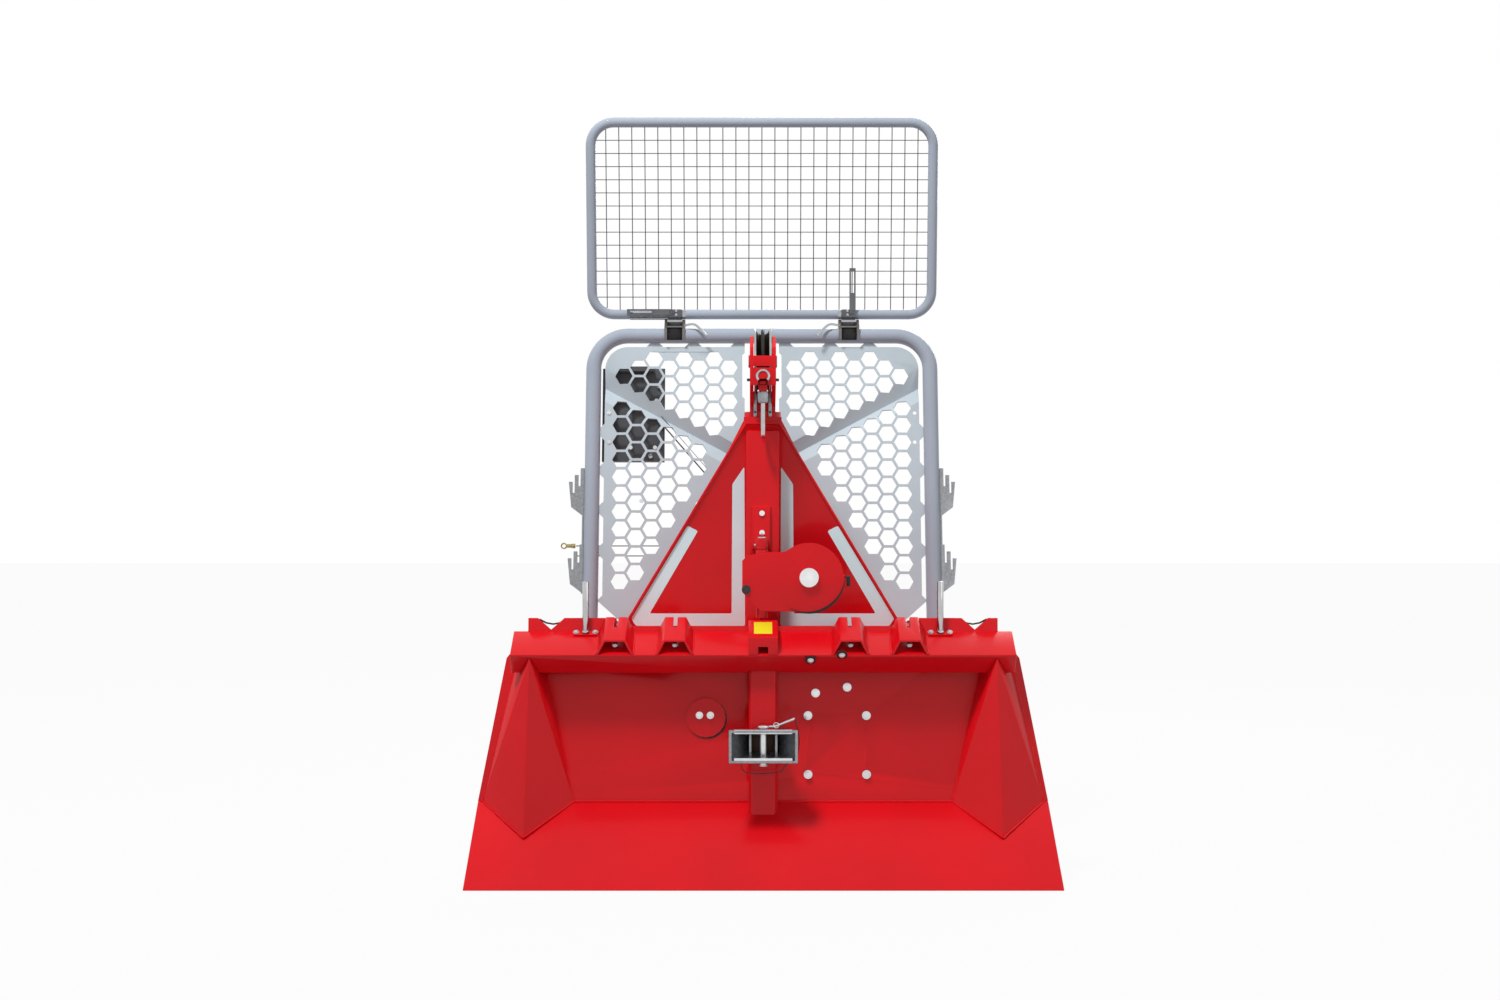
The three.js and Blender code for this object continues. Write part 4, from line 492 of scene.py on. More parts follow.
galvanised = metal("hot_dip_zinc", (0.33, 0.34, 0.36), 0.42, spangle=0.75)
bright = metal("bright_steel", (0.52, 0.52, 0.53), 0.16, brushed=0.1)
dark_wire = metal("dark_wire", (0.06, 0.06, 0.062), 0.5)
# Near-black brown for the funnel's back slab: painted shade of the post in shadow behind the throat.
post_shade_paint = paint("painted_post_shadow", (0.075, 0.035, 0.022), 0.5, 0.05, slot="zinc")
eased("hitch_post", "blade_hitch_post", PLATE_ROUNDING, red, steps=3)
funnel = [folded([
    jaw_ring(JAW_BACK - 0.004, THROAT_X, THROAT_Z),
    jaw_ring(JAW_BACK - 0.022, THROAT_X, THROAT_Z),
    jaw_ring(jaw_low.y + 0.004, MOUTH_X, MOUTH_Z),
    jaw_ring(jaw_low.y, MOUTH_X + 0.001, MOUTH_Z + 0.001),
], JAW_WALL)]
for x in (-CHEEK_X, CHEEK_X):
    foot = (x - CHEEK_HALF, JAW_BACK - 0.058, JAW_MIDDLE - CHEEK_Z)
    funnel.append(slab(foot, (x + CHEEK_HALF, JAW_BACK - 0.01, JAW_MIDDLE + CHEEK_Z)))
dress("hitch_funnel", funnel, galvanised, "frame", "hitch_jaw")
# The slab closing the funnel's back is painted dark brown: painted shade standing in for the post in shadow
# behind it.
foot = (-THROAT_X, JAW_BACK - 0.012, JAW_MIDDLE - THROAT_Z)
dress("hitch_back_plate", slab(foot, (THROAT_X, JAW_BACK, JAW_MIDDLE + THROAT_Z)), post_shade_paint)
flanges = []
for z in FLANGE_BOTTOMS:
    flanges.append(slab((-0.085, jaw_low.y - 0.0012, z), (0.084, jaw_low.y + 0.01, z + 0.0143), 0.004))
dress("hitch_mouth_flanges", flanges, white_zinc)
pin = [
    disc((0, PIN_Y, pin_low.z), UP, 0.011, pin_high.z - pin_low.z - 0.006, 40, 0.002),
    disc((0, PIN_Y, jaw_high.z + 0.0004), UP, 0.018, 0.009, 40, 0.0018),
    disc((0, PIN_Y, pin_low.z), UP, 0.0135, 0.004, 40, 0.0012),
    tube(upright(GRIP, PIN_Y), 0.0042, 16),
]
dress("hitch_drop_pin", pin, white_zinc, "hitch_pin", "hitch_pin")
clip = upright(circle(0.0375, 0.4555, 0.0075, 26), PIN_Y - 0.0055)
dress("pin_clip_ring", tube(clip, CLIP_WIRE, 8, closed=True), white_zinc, "hitch_pin")
dress("clip_wire", tube(smooth_path(LANYARD), CLIP_WIRE, 8), dark_wire)

# Chain keepers on the hood
# Four bent sheet hoods with a slot behind, which hold the choker chains, and a box between them for the
# rope's hook, with a plain yellow plate on it.
KEEPER_ROUNDING = 0.002
KEEPER_BOLT = (0.0065, 0.007)
PATCH_PLACE = (0, -0.2587, 0.7309)
PATCH_TILT = math.atan2(0.0443, 0.1053)
yellow = paint("yellow_film", (0.83, 0.72, 0.02), 0.4, 0.2)
for number in (1, 2, 3, 4):
    node = f"chain_keeper_{number}"
    eased(node, f"keeper_hood_{number}", KEEPER_ROUNDING, red, steps=3)
    low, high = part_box(node)
    place = ((low.x + high.x) / 2, low.y + 0.026, low.z + 0.0285)
    dress(f"keeper_bolt_{number}", hex_bolt(place, (0, -1, 0.3), *KEEPER_BOLT), zinc)
    foot = low.z + 0.0015
    seams = [((x, low.y + 0.004, foot), (x, high.y, foot + 0.058)) for x in (low.x, high.x)]
    weld(f"keeper_weld_{number}", *seams)
eased("centre_keeper", "centre_hook_box", KEEPER_ROUNDING, red, steps=3)
patch = slab((-0.0265, -0.038, 0.0001), (0.0265, 0.038, 0.0007), 0.0002)
patch.data.transform(Matrix.Translation(PATCH_PLACE) @ Matrix.Rotation(PATCH_TILT, 4, "X"))
dress("yellow_patch", patch, yellow)

# Bright rods on the hood's rear edge
# Turned rods, rounded on top, welded to small base plates with two screws each. Rope and chains are laid
# behind them.
ROD_FOOT = 0.714
HOOD_SLOPE = math.atan(0.582)
ROD_SCREW, SCREW_REACH, SCREW_AXIS = (0.0075, 0.005), 0.028, (0, -0.5, 0.86)
for side, sign in SIDES:
    low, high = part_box("hood_rod_" + side)
    x, y = (low.x + high.x) / 2, high.y - 0.013
    foot = slab((x - 0.036, low.y, ROD_FOOT - 0.0025), (x + 0.036, high.y, ROD_FOOT + 0.0025), 0.001)
    edit(foot)
    bpy.ops.transform.rotate(value=-HOOD_SLOPE, orient_axis="X", center_override=(x, y, ROD_FOOT))
    done()
    rod = [
        disc((x, y, ROD_FOOT + 0.002), UP, 0.0098, high.z - ROD_FOOT - 0.002, 40, 0.0035),
        disc((x, y, ROD_FOOT), UP, 0.0125, 0.008, 40, 0.002),
    ]
    places = [(x + dx, y - 0.001, 0.7172) for dx in (-SCREW_REACH, SCREW_REACH)]
    screws = [hex_bolt(place, SCREW_AXIS, *ROD_SCREW) for place in places]
    dress("rope_rod_plate_" + side, foot, red, slot="zinc")
    dress("rope_rod_" + side, rod, bright, "frame", "hood_rod_" + side)
    dress("rope_rod_screws_" + side, screws, white_zinc)

# A-frame: skin with its stripes, mast, tubes and collar
# A bent sheet skin over two square tubes, all sprayed red, with a square mast in front. Pale grey film
# stripes follow the edges of the skin; the upper ends of the slopes are left bare.
SKIN_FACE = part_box("a_frame_skin")[1].y - 0.004
FILM_THICKNESS = 0.0006
STRIPE = [
    (0.226, 1.0262), (0.1947, 1.0103), (0.3396, 0.7625), (0.0934, 0.7625), (0.0913, 1.151), (0.0552, 1.2033),
    (0.053, 0.7255), (0.381, 0.7255), (0.3955, 0.747),
]


def flat_sheet(outlines, thickness, y=0.0):
    """A sheet cut to outlines of (across, up), the later ones being holes, standing in the plane at y."""
    lines = [[(x, z, 0) for x, z in outline] for outline in outlines]
    piece = from_curve(lines, True, dimensions="2D", fill_mode="BOTH", extrude=thickness / 2)
    piece.rotation_euler = (math.radians(90), 0, 0)
    piece.location = (0, y, 0)
    clean(settle(piece), flatten=True)
    return piece


def rounded(points, radius):
    """An outline whose corners are rounded by arcs."""
    path = []
    for i, here in enumerate(points):
        before, here, after = Vector(points[i - 1]), Vector(here), Vector(points[(i + 1) % len(points)])
        a, b = before - here, after - here
        reach = min(radius, a.length / 2.2, b.length / 2.2)
        start, end = here + a.normalized() * reach, here + b.normalized() * reach
        for t in (0, 0.2, 0.4, 0.6, 0.8, 1):
            path.append(tuple((1 - t) ** 2 * start + 2 * t * (1 - t) * here + t * t * end))
    return path


eased("a_frame_skin", "a_frame_skin_sheet", 0.0016, red, steps=3)
eased("a_frame_tubes", "a_frame_tubes_and_collar", 0.003, red, steps=3)
eased("mast", "mast_tube", 0.004, red, steps=3)
film = paint("pale_grey_film", (0.72, 0.92, 1.0), 0.38, 0.15)
for side, sign in SIDES:
    outline = rounded([(sign * x, z) for x, z in STRIPE], 0.006)
    stripe = flat_sheet([outline], FILM_THICKNESS, SKIN_FACE - FILM_THICKNESS)
    dress("stripe_" + side, stripe, film)

# Seams of the mast, and the bolts of its bracket
# Fillet welds run up both sides of the mast and round the hinge bracket, whose rivets and pin are polished.
MAST_HALF, MAST_SEAM_Y = 0.0485, SKIN_FACE - 0.0002
BRACKET_LEFT, BRACKET_RIGHT, BRACKET_Y, BRACKET_TOP = -0.0325, 0.0225, -0.1175, 1.0835
seams = [((x, MAST_SEAM_Y, 0.73), (x, MAST_SEAM_Y, 1.3)) for x in (-MAST_HALF, MAST_HALF)]
weld("mast_welds", *seams)
weld(
    "bracket_welds",
    *(((x, BRACKET_Y, 0.962), (x, BRACKET_Y, 1.081)) for x in (BRACKET_LEFT, BRACKET_RIGHT)),
    ((BRACKET_LEFT, BRACKET_Y, BRACKET_TOP), (BRACKET_RIGHT, BRACKET_Y, BRACKET_TOP)),
)
button = metal("polished_cap", (0.86, 0.86, 0.87), 0.3)
rivets = [disc((-0.0025, -0.129, z), FRONT, 0.0085, 0.0045, 40, 0.0018) for z in (1.0642, 1.0063)]
dress("bracket_rivets", rivets, button)
cap = disc((-0.003, -0.182, 0.9904), UP, 0.0135, 0.005, 32, 0.0016)
nipple = disc((-0.02, -0.194, 0.972), (-0.6, -0.8, 0), 0.003, 0.007, 16, 0.0008)
dress("hinge_pin_cap", [cap, nipple], bright)

# Swing bracket with the side pulley
# Two flame-cut cheeks on a tube that hinges on the mast's pin, with a cast pulley between them. A black
# strip keeps the rope in the groove. The rope is laid over this pulley when logs are pulled in from low down.
PULLEY_X, PULLEY_Z = 0.135, 0.876
AXLE_RADIUS = 0.0284
STRIP_RADIUS = 0.1035
STRIP_HALF = 0.0125
STRIP_Y = -0.19
STRIP_END_Z = 0.8795
EDGE_STEPS = 24
# Angles, radii and waist of the painted shade crescent along the cheek's lower edge
EDGE_START, EDGE_END = -124, 2
EDGE_INNER, EDGE_OUTER, EDGE_WAIST = 0.1058, 0.1062, 0.0072
WHEEL_ROUNDING = 0.0008
LOCK_BOLT = (0.0105, 0.007)


def turned(profile, centre, axis, steps=72, rounding=0.0):
    """A closed profile of (radius, along) turned about an axis through a centre."""
    axis, centre = Vector(axis), Vector(centre)
    out = axis.orthogonal().normalized()
    mesh = bpy.data.meshes.new("turned")
    count = len(profile)
    points = [centre + out * r + axis * a for r, a in profile]
    mesh.from_pydata(points, [(i, (i + 1) % count) for i in range(count)], [])
    piece = new_piece("turned", mesh)
    edit(piece)
    bpy.ops.mesh.spin(steps=steps, angle=2 * math.pi, center=centre, axis=axis)
    done()
    clean(piece)
    return finish_edges(piece, rounding, 2, math.radians(35))


def groove_arc(rim, depth, half, steps):
    turns = [math.pi * k / steps for k in range(steps + 1)]
    return [(rim - depth * math.sin(t), half * math.cos(t)) for t in turns]


def rope_wheel(face, half, groove, place, axis):
    """A wheel with the same face on both sides, in shares of its half width, and a groove in its rim."""
    face = [(radius, -half * share) for radius, share in face]
    profile = [*face, *groove[::-1], *((radius, -along) for radius, along in face[::-1])]
    return turned(profile, place, axis, rounding=WHEEL_ROUNDING)


eased("swing_bracket", "side_pulley_bracket", 0.0015, red, "swing_bracket", 3)
bracket_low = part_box("swing_bracket")[0]
axle = [
    disc((PULLEY_X, bracket_low.y - 0.0003, PULLEY_Z), FRONT, AXLE_RADIUS, 0.004, 64, 0.0016),
    disc((PULLEY_X, bracket_low.y + 0.0002, PULLEY_Z), BACK, AXLE_RADIUS, 0.004, 64, 0.0008),
]
dress("side_pulley_axle", axle, button, "swing_bracket")
low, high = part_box("side_pulley")
rim, half = (high.z - low.z) / 2, (high.y - low.y) / 2
face = [(0.0128, 1), (0.026, 1), (0.028, 0.7), (0.06, 0.62), (0.066, 1), (rim, 1)]
place = (PULLEY_X, (low.y + high.y) / 2, PULLEY_Z)
cast_steel = metal("cast_steel", (0.3, 0.3, 0.31), 0.38, slot="steel")
wheel = rope_wheel(face, half, groove_arc(rim, 0.016, half * 0.8, 8), place, BACK)
dress("side_pulley_wheel", wheel, cast_steel, "side_pulley", "side_pulley")
arc = arc_points(PULLEY_X, PULLEY_Z, STRIP_RADIUS, -118, 4, EDGE_STEPS)
lines = [upright(arc, STRIP_Y + across) for across in (-STRIP_HALF, STRIP_HALF)]
band_mesh = bpy.data.meshes.new("band")
count = len(arc)
faces = [(i, i + 1, i + 1 + count, i + count) for i in range(count - 1)]
band_mesh.from_pydata([*lines[0], *lines[1]], [], faces)
band = new_piece("band", band_mesh)
modify(band, "SOLIDIFY", thickness=0.003, offset=0)
end = slab((0.2465, -0.2005, 0.8495), (0.2565, -0.178, STRIP_END_Z), 0.001)
link = slab((PULLEY_X + STRIP_RADIUS - 0.002, -0.2005, 0.874), (0.2475, -0.18, STRIP_END_Z), 0.0005)
strip = [*(tube(line, 0.0012, 8) for line in lines), band, end, link]
dress("rope_guard_strip", strip, black_rubber, "swing_bracket")
# A thin black crescent laid on the cheek's face along its lower edge, widest in the middle: painted shade of
# the cheek's underside.
edge = []
for k in range(EDGE_STEPS + 1):
    turn = math.radians(EDGE_START + (EDGE_END - EDGE_START) * k / EDGE_STEPS)
    reach = EDGE_INNER - EDGE_WAIST * math.sin(math.pi * k / EDGE_STEPS)
    edge.append((PULLEY_X + reach * math.cos(turn), PULLEY_Z + reach * math.sin(turn)))
edge += arc_points(PULLEY_X, PULLEY_Z, EDGE_OUTER, EDGE_END, EDGE_START, EDGE_STEPS)
shade_crescent = flat_sheet([edge], 0.0012, bracket_low.y + 0.0067)
dress("bracket_edge_painted_shade", shade_crescent, black_rubber, "swing_bracket")
lock = hex_bolt((-0.0492, bracket_low.y + 0.0073, 0.8405), FRONT, *LOCK_BOLT)
dress("bracket_lock_bolt", lock, dark_wire, "swing_bracket")

# Head with the top sheave
# Two red cheeks on a base that swivels on the collar. The sheave turns between them, and a guide block
# leads the rope down through a hardened ring to the hook.
low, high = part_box("top_sheave")
SHEAVE_Y, SHEAVE_Z = (low.y + high.y) / 2, (low.z + high.z) / 2
SHEAVE_PLACE = (0, SHEAVE_Y, SHEAVE_Z)
WEAR_BAR_X, WEAR_BAR_FRONT = 0.0225, -0.0545
EYE_Y, EYE_Z, EYE_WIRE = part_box("head")[0].y + 0.0005, 1.468, 0.0042
rim, half = (high.z - low.z) / 2, (high.x - low.x) / 2
eased("head", "swivel_head", 0.0016, red, "head", 3)
face = [(0.0144, 1), (0.03, 1), (0.033, 0.8), (0.07, 0.8), (0.076, 1), (rim, 1)]
groove = groove_arc(rim - 0.002, 0.018, half * 0.76, 10)
worn_rim = metal("worn_sheave_steel", (0.5, 0.5, 0.49), 0.3, brushed=0.1, slot="steel")
wheel = rope_wheel(face, half, groove, SHEAVE_PLACE, RIGHT)
dress("top_sheave_wheel", wheel, worn_rim, "top_sheave", "top_sheave")
# A dark brown lining laid just inside the top sheave's groove.
lining = [(r + 0.0006, a) for r, a in groove] + [(r - 0.002, a) for r, a in groove[::-1]]
groove_lining_dark = metal("dark_groove_lining", (0.045, 0.032, 0.024), 0.5, slot="steel")
dress("dark_groove_lining", turned(lining[1:-1], SHEAVE_PLACE, RIGHT), groove_lining_dark, "top_sheave")
caps, pins, bars, screws = [], [], [], []
for sign in (-1, 1):
    x = sign * WEAR_BAR_X
    caps.append(disc((sign * 0.0405, SHEAVE_Y, SHEAVE_Z), (sign, 0, 0), 0.0185, 0.0025, 40, 0.001))
    pins.append(disc((sign * 0.0372, -0.188, 1.457), (sign, 0, 0), 0.0042, 0.01, 24, 0.001))
    bars.append(slab((x - 0.0047, WEAR_BAR_FRONT, 1.3545), (x + 0.0047, -0.0486, 1.424), 0.001))
    screws.append(disc((x, WEAR_BAR_FRONT, 1.3677), FRONT, 0.0036, 0.003, 24, 0.001))
for name, pieces, finish in (
    ("head_axle_caps", caps, zinc), ("head_cross_pins", pins, dark_wire),
    ("head_wear_bars", bars, galvanised), ("wear_bar_screws", screws, dark_wire),
):
    dress(name, pieces, finish, "head")
ring = tube(upright(arc_points(0, EYE_Z, 0.0172, -42, 222, 36), EYE_Y), EYE_WIRE, 16)
dress("rope_guide_ring", ring, bright, "head")
bore = disc((0, EYE_Y + EYE_WIRE, EYE_Z), FRONT, 0.0132, 0.0006, 40, 0.0)
dress("rope_guide_bore", bore, black_rubber, "head")

# Wire rope: the stretch over the head, the stretch up the mast and the turns on the drum
# Six strands of steel wire, 11 mm across, laid round a core. The drum's turns lie beside and on each other.
ROPE_RADIUS = 0.0055
ROPE_LAY = 0.072
ROPE_STEP = 0.006
ROPE_Y = 0.005
ROPE_WRAP = 0.09
STRANDS = 6
DRUM_X, DRUM_Z = 0.217, 0.387
DRUM_CORE = 0.1006
COIL_LAYERS = 11
STEPS_PER_TURN = 24


def stranded(path):
    """A wire rope whose strands wind round a path."""
    points = []
    for a, b in zip(path, path[1:]):
        far = (Vector(b) - Vector(a)).length > ROPE_STEP
        points += between(a, b, ROPE_STEP)[:-1] if far else [Vector(a)]
    points.append(Vector(path[-1]))
    side = (points[1] - points[0]).orthogonal().normalized()
    tracks = [[] for _ in range(STRANDS)]
    run = 0.0
    for before, point, after in zip([points[0], *points], points, [*points[1:], points[-1]]):
        ahead = (after - before).normalized()
        side = (side - ahead * side.dot(ahead)).normalized()
        for k, track in enumerate(tracks):
            turn = 2 * math.pi * (run / ROPE_LAY + k / STRANDS)
            out = side * math.cos(turn) + ahead.cross(side) * math.sin(turn)
            track.append(point + out * ROPE_RADIUS * 0.64)
        run += (after - point).length
    strands = [tube(track, ROPE_RADIUS * 0.37, 8) for track in tracks]
    return joined([*strands, tube(points, ROPE_RADIUS * 0.55, 8)])


rope_steel = metal("rope_wire", (0.2, 0.2, 0.205), 0.42, brushed=0.5, slot="wire_rope")
# A darker copy of the rope's steel, for the stretch over the head.
darker_rope = metal("darker_rope_wire", (0.075, 0.07, 0.065), 0.5, brushed=0.4, slot="wire_rope")
low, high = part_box("rope_riser")
riser = stranded([(0, ROPE_Y, low.z), (0, ROPE_Y, high.z)])
dress("rope_up_the_mast", riser, rope_steel, "frame", "rope_riser")
over = [(ROPE_Y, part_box("head_rope")[0].z), *arc_points(SHEAVE_Y, SHEAVE_Z, ROPE_WRAP, 0, 180, 32)]
over.append((SHEAVE_Y - ROPE_WRAP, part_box("rope_hook")[1].z + 0.0002))
over = stranded([(0, y, z) for y, z in over])
dress("rope_over_the_head", over, darker_rope, "head", "head_rope")
low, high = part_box("rope_winding")
first, last = low.y + ROPE_RADIUS, high.y - ROPE_RADIUS
turns_across = int((last - first) / (2 * ROPE_RADIUS))
inner, outer = DRUM_CORE + ROPE_RADIUS, high.x - DRUM_X - ROPE_RADIUS
coil = []
for layer in range(COIL_LAYERS):
    radius = inner + (outer - inner) * layer / (COIL_LAYERS - 1)
    for i in range(turns_across * STEPS_PER_TURN):
        turn = i / STEPS_PER_TURN
        along = first + (last - first) * turn / turns_across
        if layer % 2:
            along = first + last - along
        angle = 2 * math.pi * turn
        coil.append((DRUM_X + radius * math.cos(angle), along, DRUM_Z + radius * math.sin(angle)))
winding = tube(coil, ROPE_RADIUS * 0.97, 8)
dress("rope_turns_on_drum", winding, rope_steel, "drum", "rope_winding")

# Rope end: yoke, ferrule and hook
# A red yoke holds the swaged ferrule of the rope. A forged and polished hook hangs from it.
HOOK_Y = -0.175
HOOK_BEND = 0.0215
YOKE_STEPS = [
    (0.0125, 0.0125, 1.4235, 1.444, 0.003), (0.0135, 0.0135, 1.43, 1.4365, 0.002),
    (0.0105, 0.011, 1.444, 1.4588, 0.0025),
]
FERRULE = [
    (0.002, 1.39), (0.0125, 1.39), (0.0155, 1.396), (0.016, 1.415), (0.0135, 1.4232), (0.002, 1.4232),
]
yoke = [slab((-x, HOOK_Y - y, low), (x, HOOK_Y + y, high), edge) for x, y, low, high, edge in YOKE_STEPS]
dress("rope_end_yoke", yoke, red, "head")
dress("rope_ferrule", turned(FERRULE, (0, HOOK_Y, 0), UP, 12, 0.0008), galvanised, "head")
bend_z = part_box("rope_hook")[0].z + 0.027
hook = [(0, 1.396), (-0.004, 1.37), (-0.007, 1.345), (-0.008, bend_z + 0.008)]
hook += arc_points(0.015, bend_z, HOOK_BEND, 180, 385)
hook = tube(smooth_path([(0, HOOK_Y + y, z) for y, z in hook], 3), 0.0062, 20)
dress("choker_hook", hook, bright, "head", "rope_hook")

# Lower guard: tube and hexagon panel
# A bent tube sprayed grey, with a laser-cut sheet of hexagons let into it on short tabs. Two grooves are
# pressed into the sheet, away from the blade, so that it doesn't drum. It leans towards the tractor.
GUARD_FOOT = (0.206, 0.699)
GUARD_LEAN = math.atan2(0.187, 0.956)
GUARD_HEIGHT = math.hypot(0.187, 0.956)
LOWER = (GUARD_FOOT, -GUARD_LEAN)
GUARD_HALF = 0.5635
GUARD_TUBE = 0.02415
GUARD_CORNER = 0.134
FOOT_HALF, ARCH_FOOT = 0.03, -0.012
HEX_ROW = 0.0561
HEX_RADIUS = 0.0279
PANEL_BOTTOM = 0.024
PANEL_CHAMFER = 0.07
PANEL_THICKNESS = 0.004
NOTCH_HALF, NOTCH_BOTTOM, NOTCH_STEP = 0.063, 0.606, 0.008
NOTCH_UPPER, NOTCH_LOWER = 0.03, 0.184
WINDOW_HALF, WINDOW_TOP = 0.115, 0.3475
TAB_DEPTH = 0.0125
SIDE_TABS = [(0.094, 0.235), (0.262, 0.367), (0.395, 0.495), (0.522, 0.618)]
TOP_TABS = [(0.235, 0.329), (0.09, 0.204)]
CORNER_START, CORNER_END = 0.648, 0.359
PANEL_GAP = 0.0004
PANEL_TOP = GUARD_HEIGHT - 2 * GUARD_TUBE - PANEL_GAP
PANEL_EDGE = GUARD_HALF - 2 * GUARD_TUBE - PANEL_GAP
# Two fields of hexagons: whether it is the upper one, its columns and rows, where the first column is and
# the step to the next, and the height of row 0 in even and in odd columns
FIELDS = [
    (True, range(8), range(0, -8, -1), 0.1055, 0.0481, (0.845, 0.873)),
    (False, range(2, 8), range(-9, 5), 0.105, 0.0491, (0.5715, 0.5434)),
]
NOTCH_FLOOR, WINDOW_SILL, CORNER_LIMIT = 0.64, 0.1, 0.83
FOLD_MARGIN, GROOVE_MARGIN = 0.033, 0.012
SLOPE_X, SLOPE_Z, SLOPE_FALL = 0.203, 0.505, 1.72
HOLE_RADIUS = 0.006
ROUND_HOLES = [(0.488, 0.6955), (0.487, 0.6), (0.36, 0.047), (0.205, 0.4)]
# Heights of a groove's top, fold and bottom lines, at its inner and its outer end
GROOVE = {"top": (0.586, 0.842), "fold": (0.547, 0.779), "bottom": (0.505, 0.731)}
GROOVE_NEAR, GROOVE_FAR = 0.074, 0.5
GROOVE_DEPTH = 0.025


def lean(piece, foot, angle):
    """Puts a piece drawn upright on a guard's foot line, leaning as the guard does."""
    piece.data.transform(Matrix.Translation((0, *foot)) @ Matrix.Rotation(angle, 4, "X"))
    return piece


def recess(start, end):
    """A shallow cut with slanted ends, as (along the edge, into the sheet)."""
    return [(start, 0), (start + TAB_DEPTH, TAB_DEPTH), (end - TAB_DEPTH, TAB_DEPTH), (end, 0)]


def crease(name, x):
    """How high a groove's line is at a distance from the middle."""
    near, far = GROOVE[name]
    return near + (far - near) * (abs(x) - GROOVE_NEAR) / (GROOVE_FAR - GROOVE_NEAR)


def hexagon_limits(upper, k, x):
    """Between which heights a column has hexagons: off the edges, the groove and the A-frame's slopes."""
    if upper:
        return max(crease("fold", x) + FOLD_MARGIN, NOTCH_FLOOR), CORNER_LIMIT if k == 7 else 1
    return max(SLOPE_Z - SLOPE_FALL * (x - SLOPE_X), WINDOW_SILL), crease("bottom", x) + GROOVE_MARGIN


bend = GUARD_CORNER - GUARD_TUBE
half, top = GUARD_HALF - GUARD_TUBE, GUARD_HEIGHT - GUARD_TUBE
arch = [
    (half, ARCH_FOOT), *arc_points(half - bend, top - bend, bend, 0, 90),
    *arc_points(bend - half, top - bend, bend, 90, 180), (-half, ARCH_FOOT),
]
arch = [lean(tube(upright(arch), GUARD_TUBE, 40), *LOWER)]
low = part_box("lower_guard_tube")[0]
for x in (-half, half):
    arch.append(slab((x - FOOT_HALF, low.y, low.z), (x + FOOT_HALF, low.y + 0.056, low.z + 0.024), 0.002))
grey = paint("grey_guard_paint", (0.4, 0.45, 0.53), 0.34, 0.2, slot="grey_paint")
dress("lower_guard_arch", arch, grey, "frame", "lower_guard_tube")

corner = GUARD_CORNER - 2 * GUARD_TUBE
right = [
    (WINDOW_HALF, WINDOW_TOP), (WINDOW_HALF, PANEL_BOTTOM), (PANEL_EDGE - PANEL_CHAMFER, PANEL_BOTTOM),
    (PANEL_EDGE, PANEL_BOTTOM + PANEL_CHAMFER * 0.9),
]
for tab in SIDE_TABS:
    right += [(PANEL_EDGE - depth, along) for along, depth in recess(*tab)]
right += [(PANEL_EDGE, CORNER_START), (PANEL_EDGE - TAB_DEPTH, CORNER_START + TAB_DEPTH)]
right += arc_points(PANEL_EDGE - corner, PANEL_TOP - corner, corner - TAB_DEPTH, 0, 90)
right += [(CORNER_END + TAB_DEPTH, PANEL_TOP - TAB_DEPTH), (CORNER_END, PANEL_TOP)]
for tab in TOP_TABS:
    right += [(along, PANEL_TOP - depth) for along, depth in reversed(recess(*tab))]
notch_neck = NOTCH_HALF - NOTCH_STEP
right += [
    (notch_neck, PANEL_TOP), (notch_neck, PANEL_TOP - NOTCH_UPPER),
    (NOTCH_HALF, PANEL_TOP - NOTCH_UPPER - NOTCH_STEP), (NOTCH_HALF, PANEL_TOP - NOTCH_LOWER + NOTCH_STEP),
    (notch_neck, PANEL_TOP - NOTCH_LOWER), (notch_neck, NOTCH_BOTTOM),
]
outlines = [right + [(-x, z) for x, z in reversed(right)]]

for sign in (-1, 1):
    for upper, columns, rows, start, pitch, heights in FIELDS:
        for k in columns:
            x = start + pitch * k
            for z in (heights[k % 2] + HEX_ROW * j for j in rows):
                low, high = hexagon_limits(upper, k, x)
                if low < z < high:
                    outlines.append(circle(sign * x, z, HEX_RADIUS, 6))
outlines += [circle(sign * x, z, HOLE_RADIUS, 12) for sign in (-1, 1) for x, z in ROUND_HOLES]

panel = flat_sheet(outlines, 0)
edit(panel)
bpy.ops.mesh.quads_convert_to_tris()
cuts = []
for name, (near, far) in GROOVE.items():
    slope = (far - near) / (GROOVE_FAR - GROOVE_NEAR)
    cuts += [((0, 0, crease(name, 0)), (way * slope, 0, 1)) for way in (1, -1)]
for point, normal in [*cuts, ((0, 0, 0), RIGHT)]:
    bpy.ops.mesh.select_all(action="SELECT")
    bpy.ops.mesh.bisect(plane_co=point, plane_no=normal)
done()
for vertex in panel.data.vertices:
    x, _, z = vertex.co
    top, fold, bottom = (crease(name, x) for name in ("top", "fold", "bottom"))
    share = (top - z) / (top - fold) if z > fold else (z - bottom) / (fold - bottom)
    vertex.co.y += GROOVE_DEPTH * max(0.0, share)
clean(panel, merge=False, flatten=True, outward=False)
modify(panel, "SOLIDIFY", thickness=PANEL_THICKNESS, offset=0)
clean(panel, merge=False)
panel_grey = paint("grey_panel_paint", (0.55, 0.635, 0.69), 0.36, 0.15, slot="grey_paint")
panel = finish_edges(lean(panel, *LOWER), 0)
dress("hexagon_panel", panel, panel_grey, "frame", "lower_guard_panel")

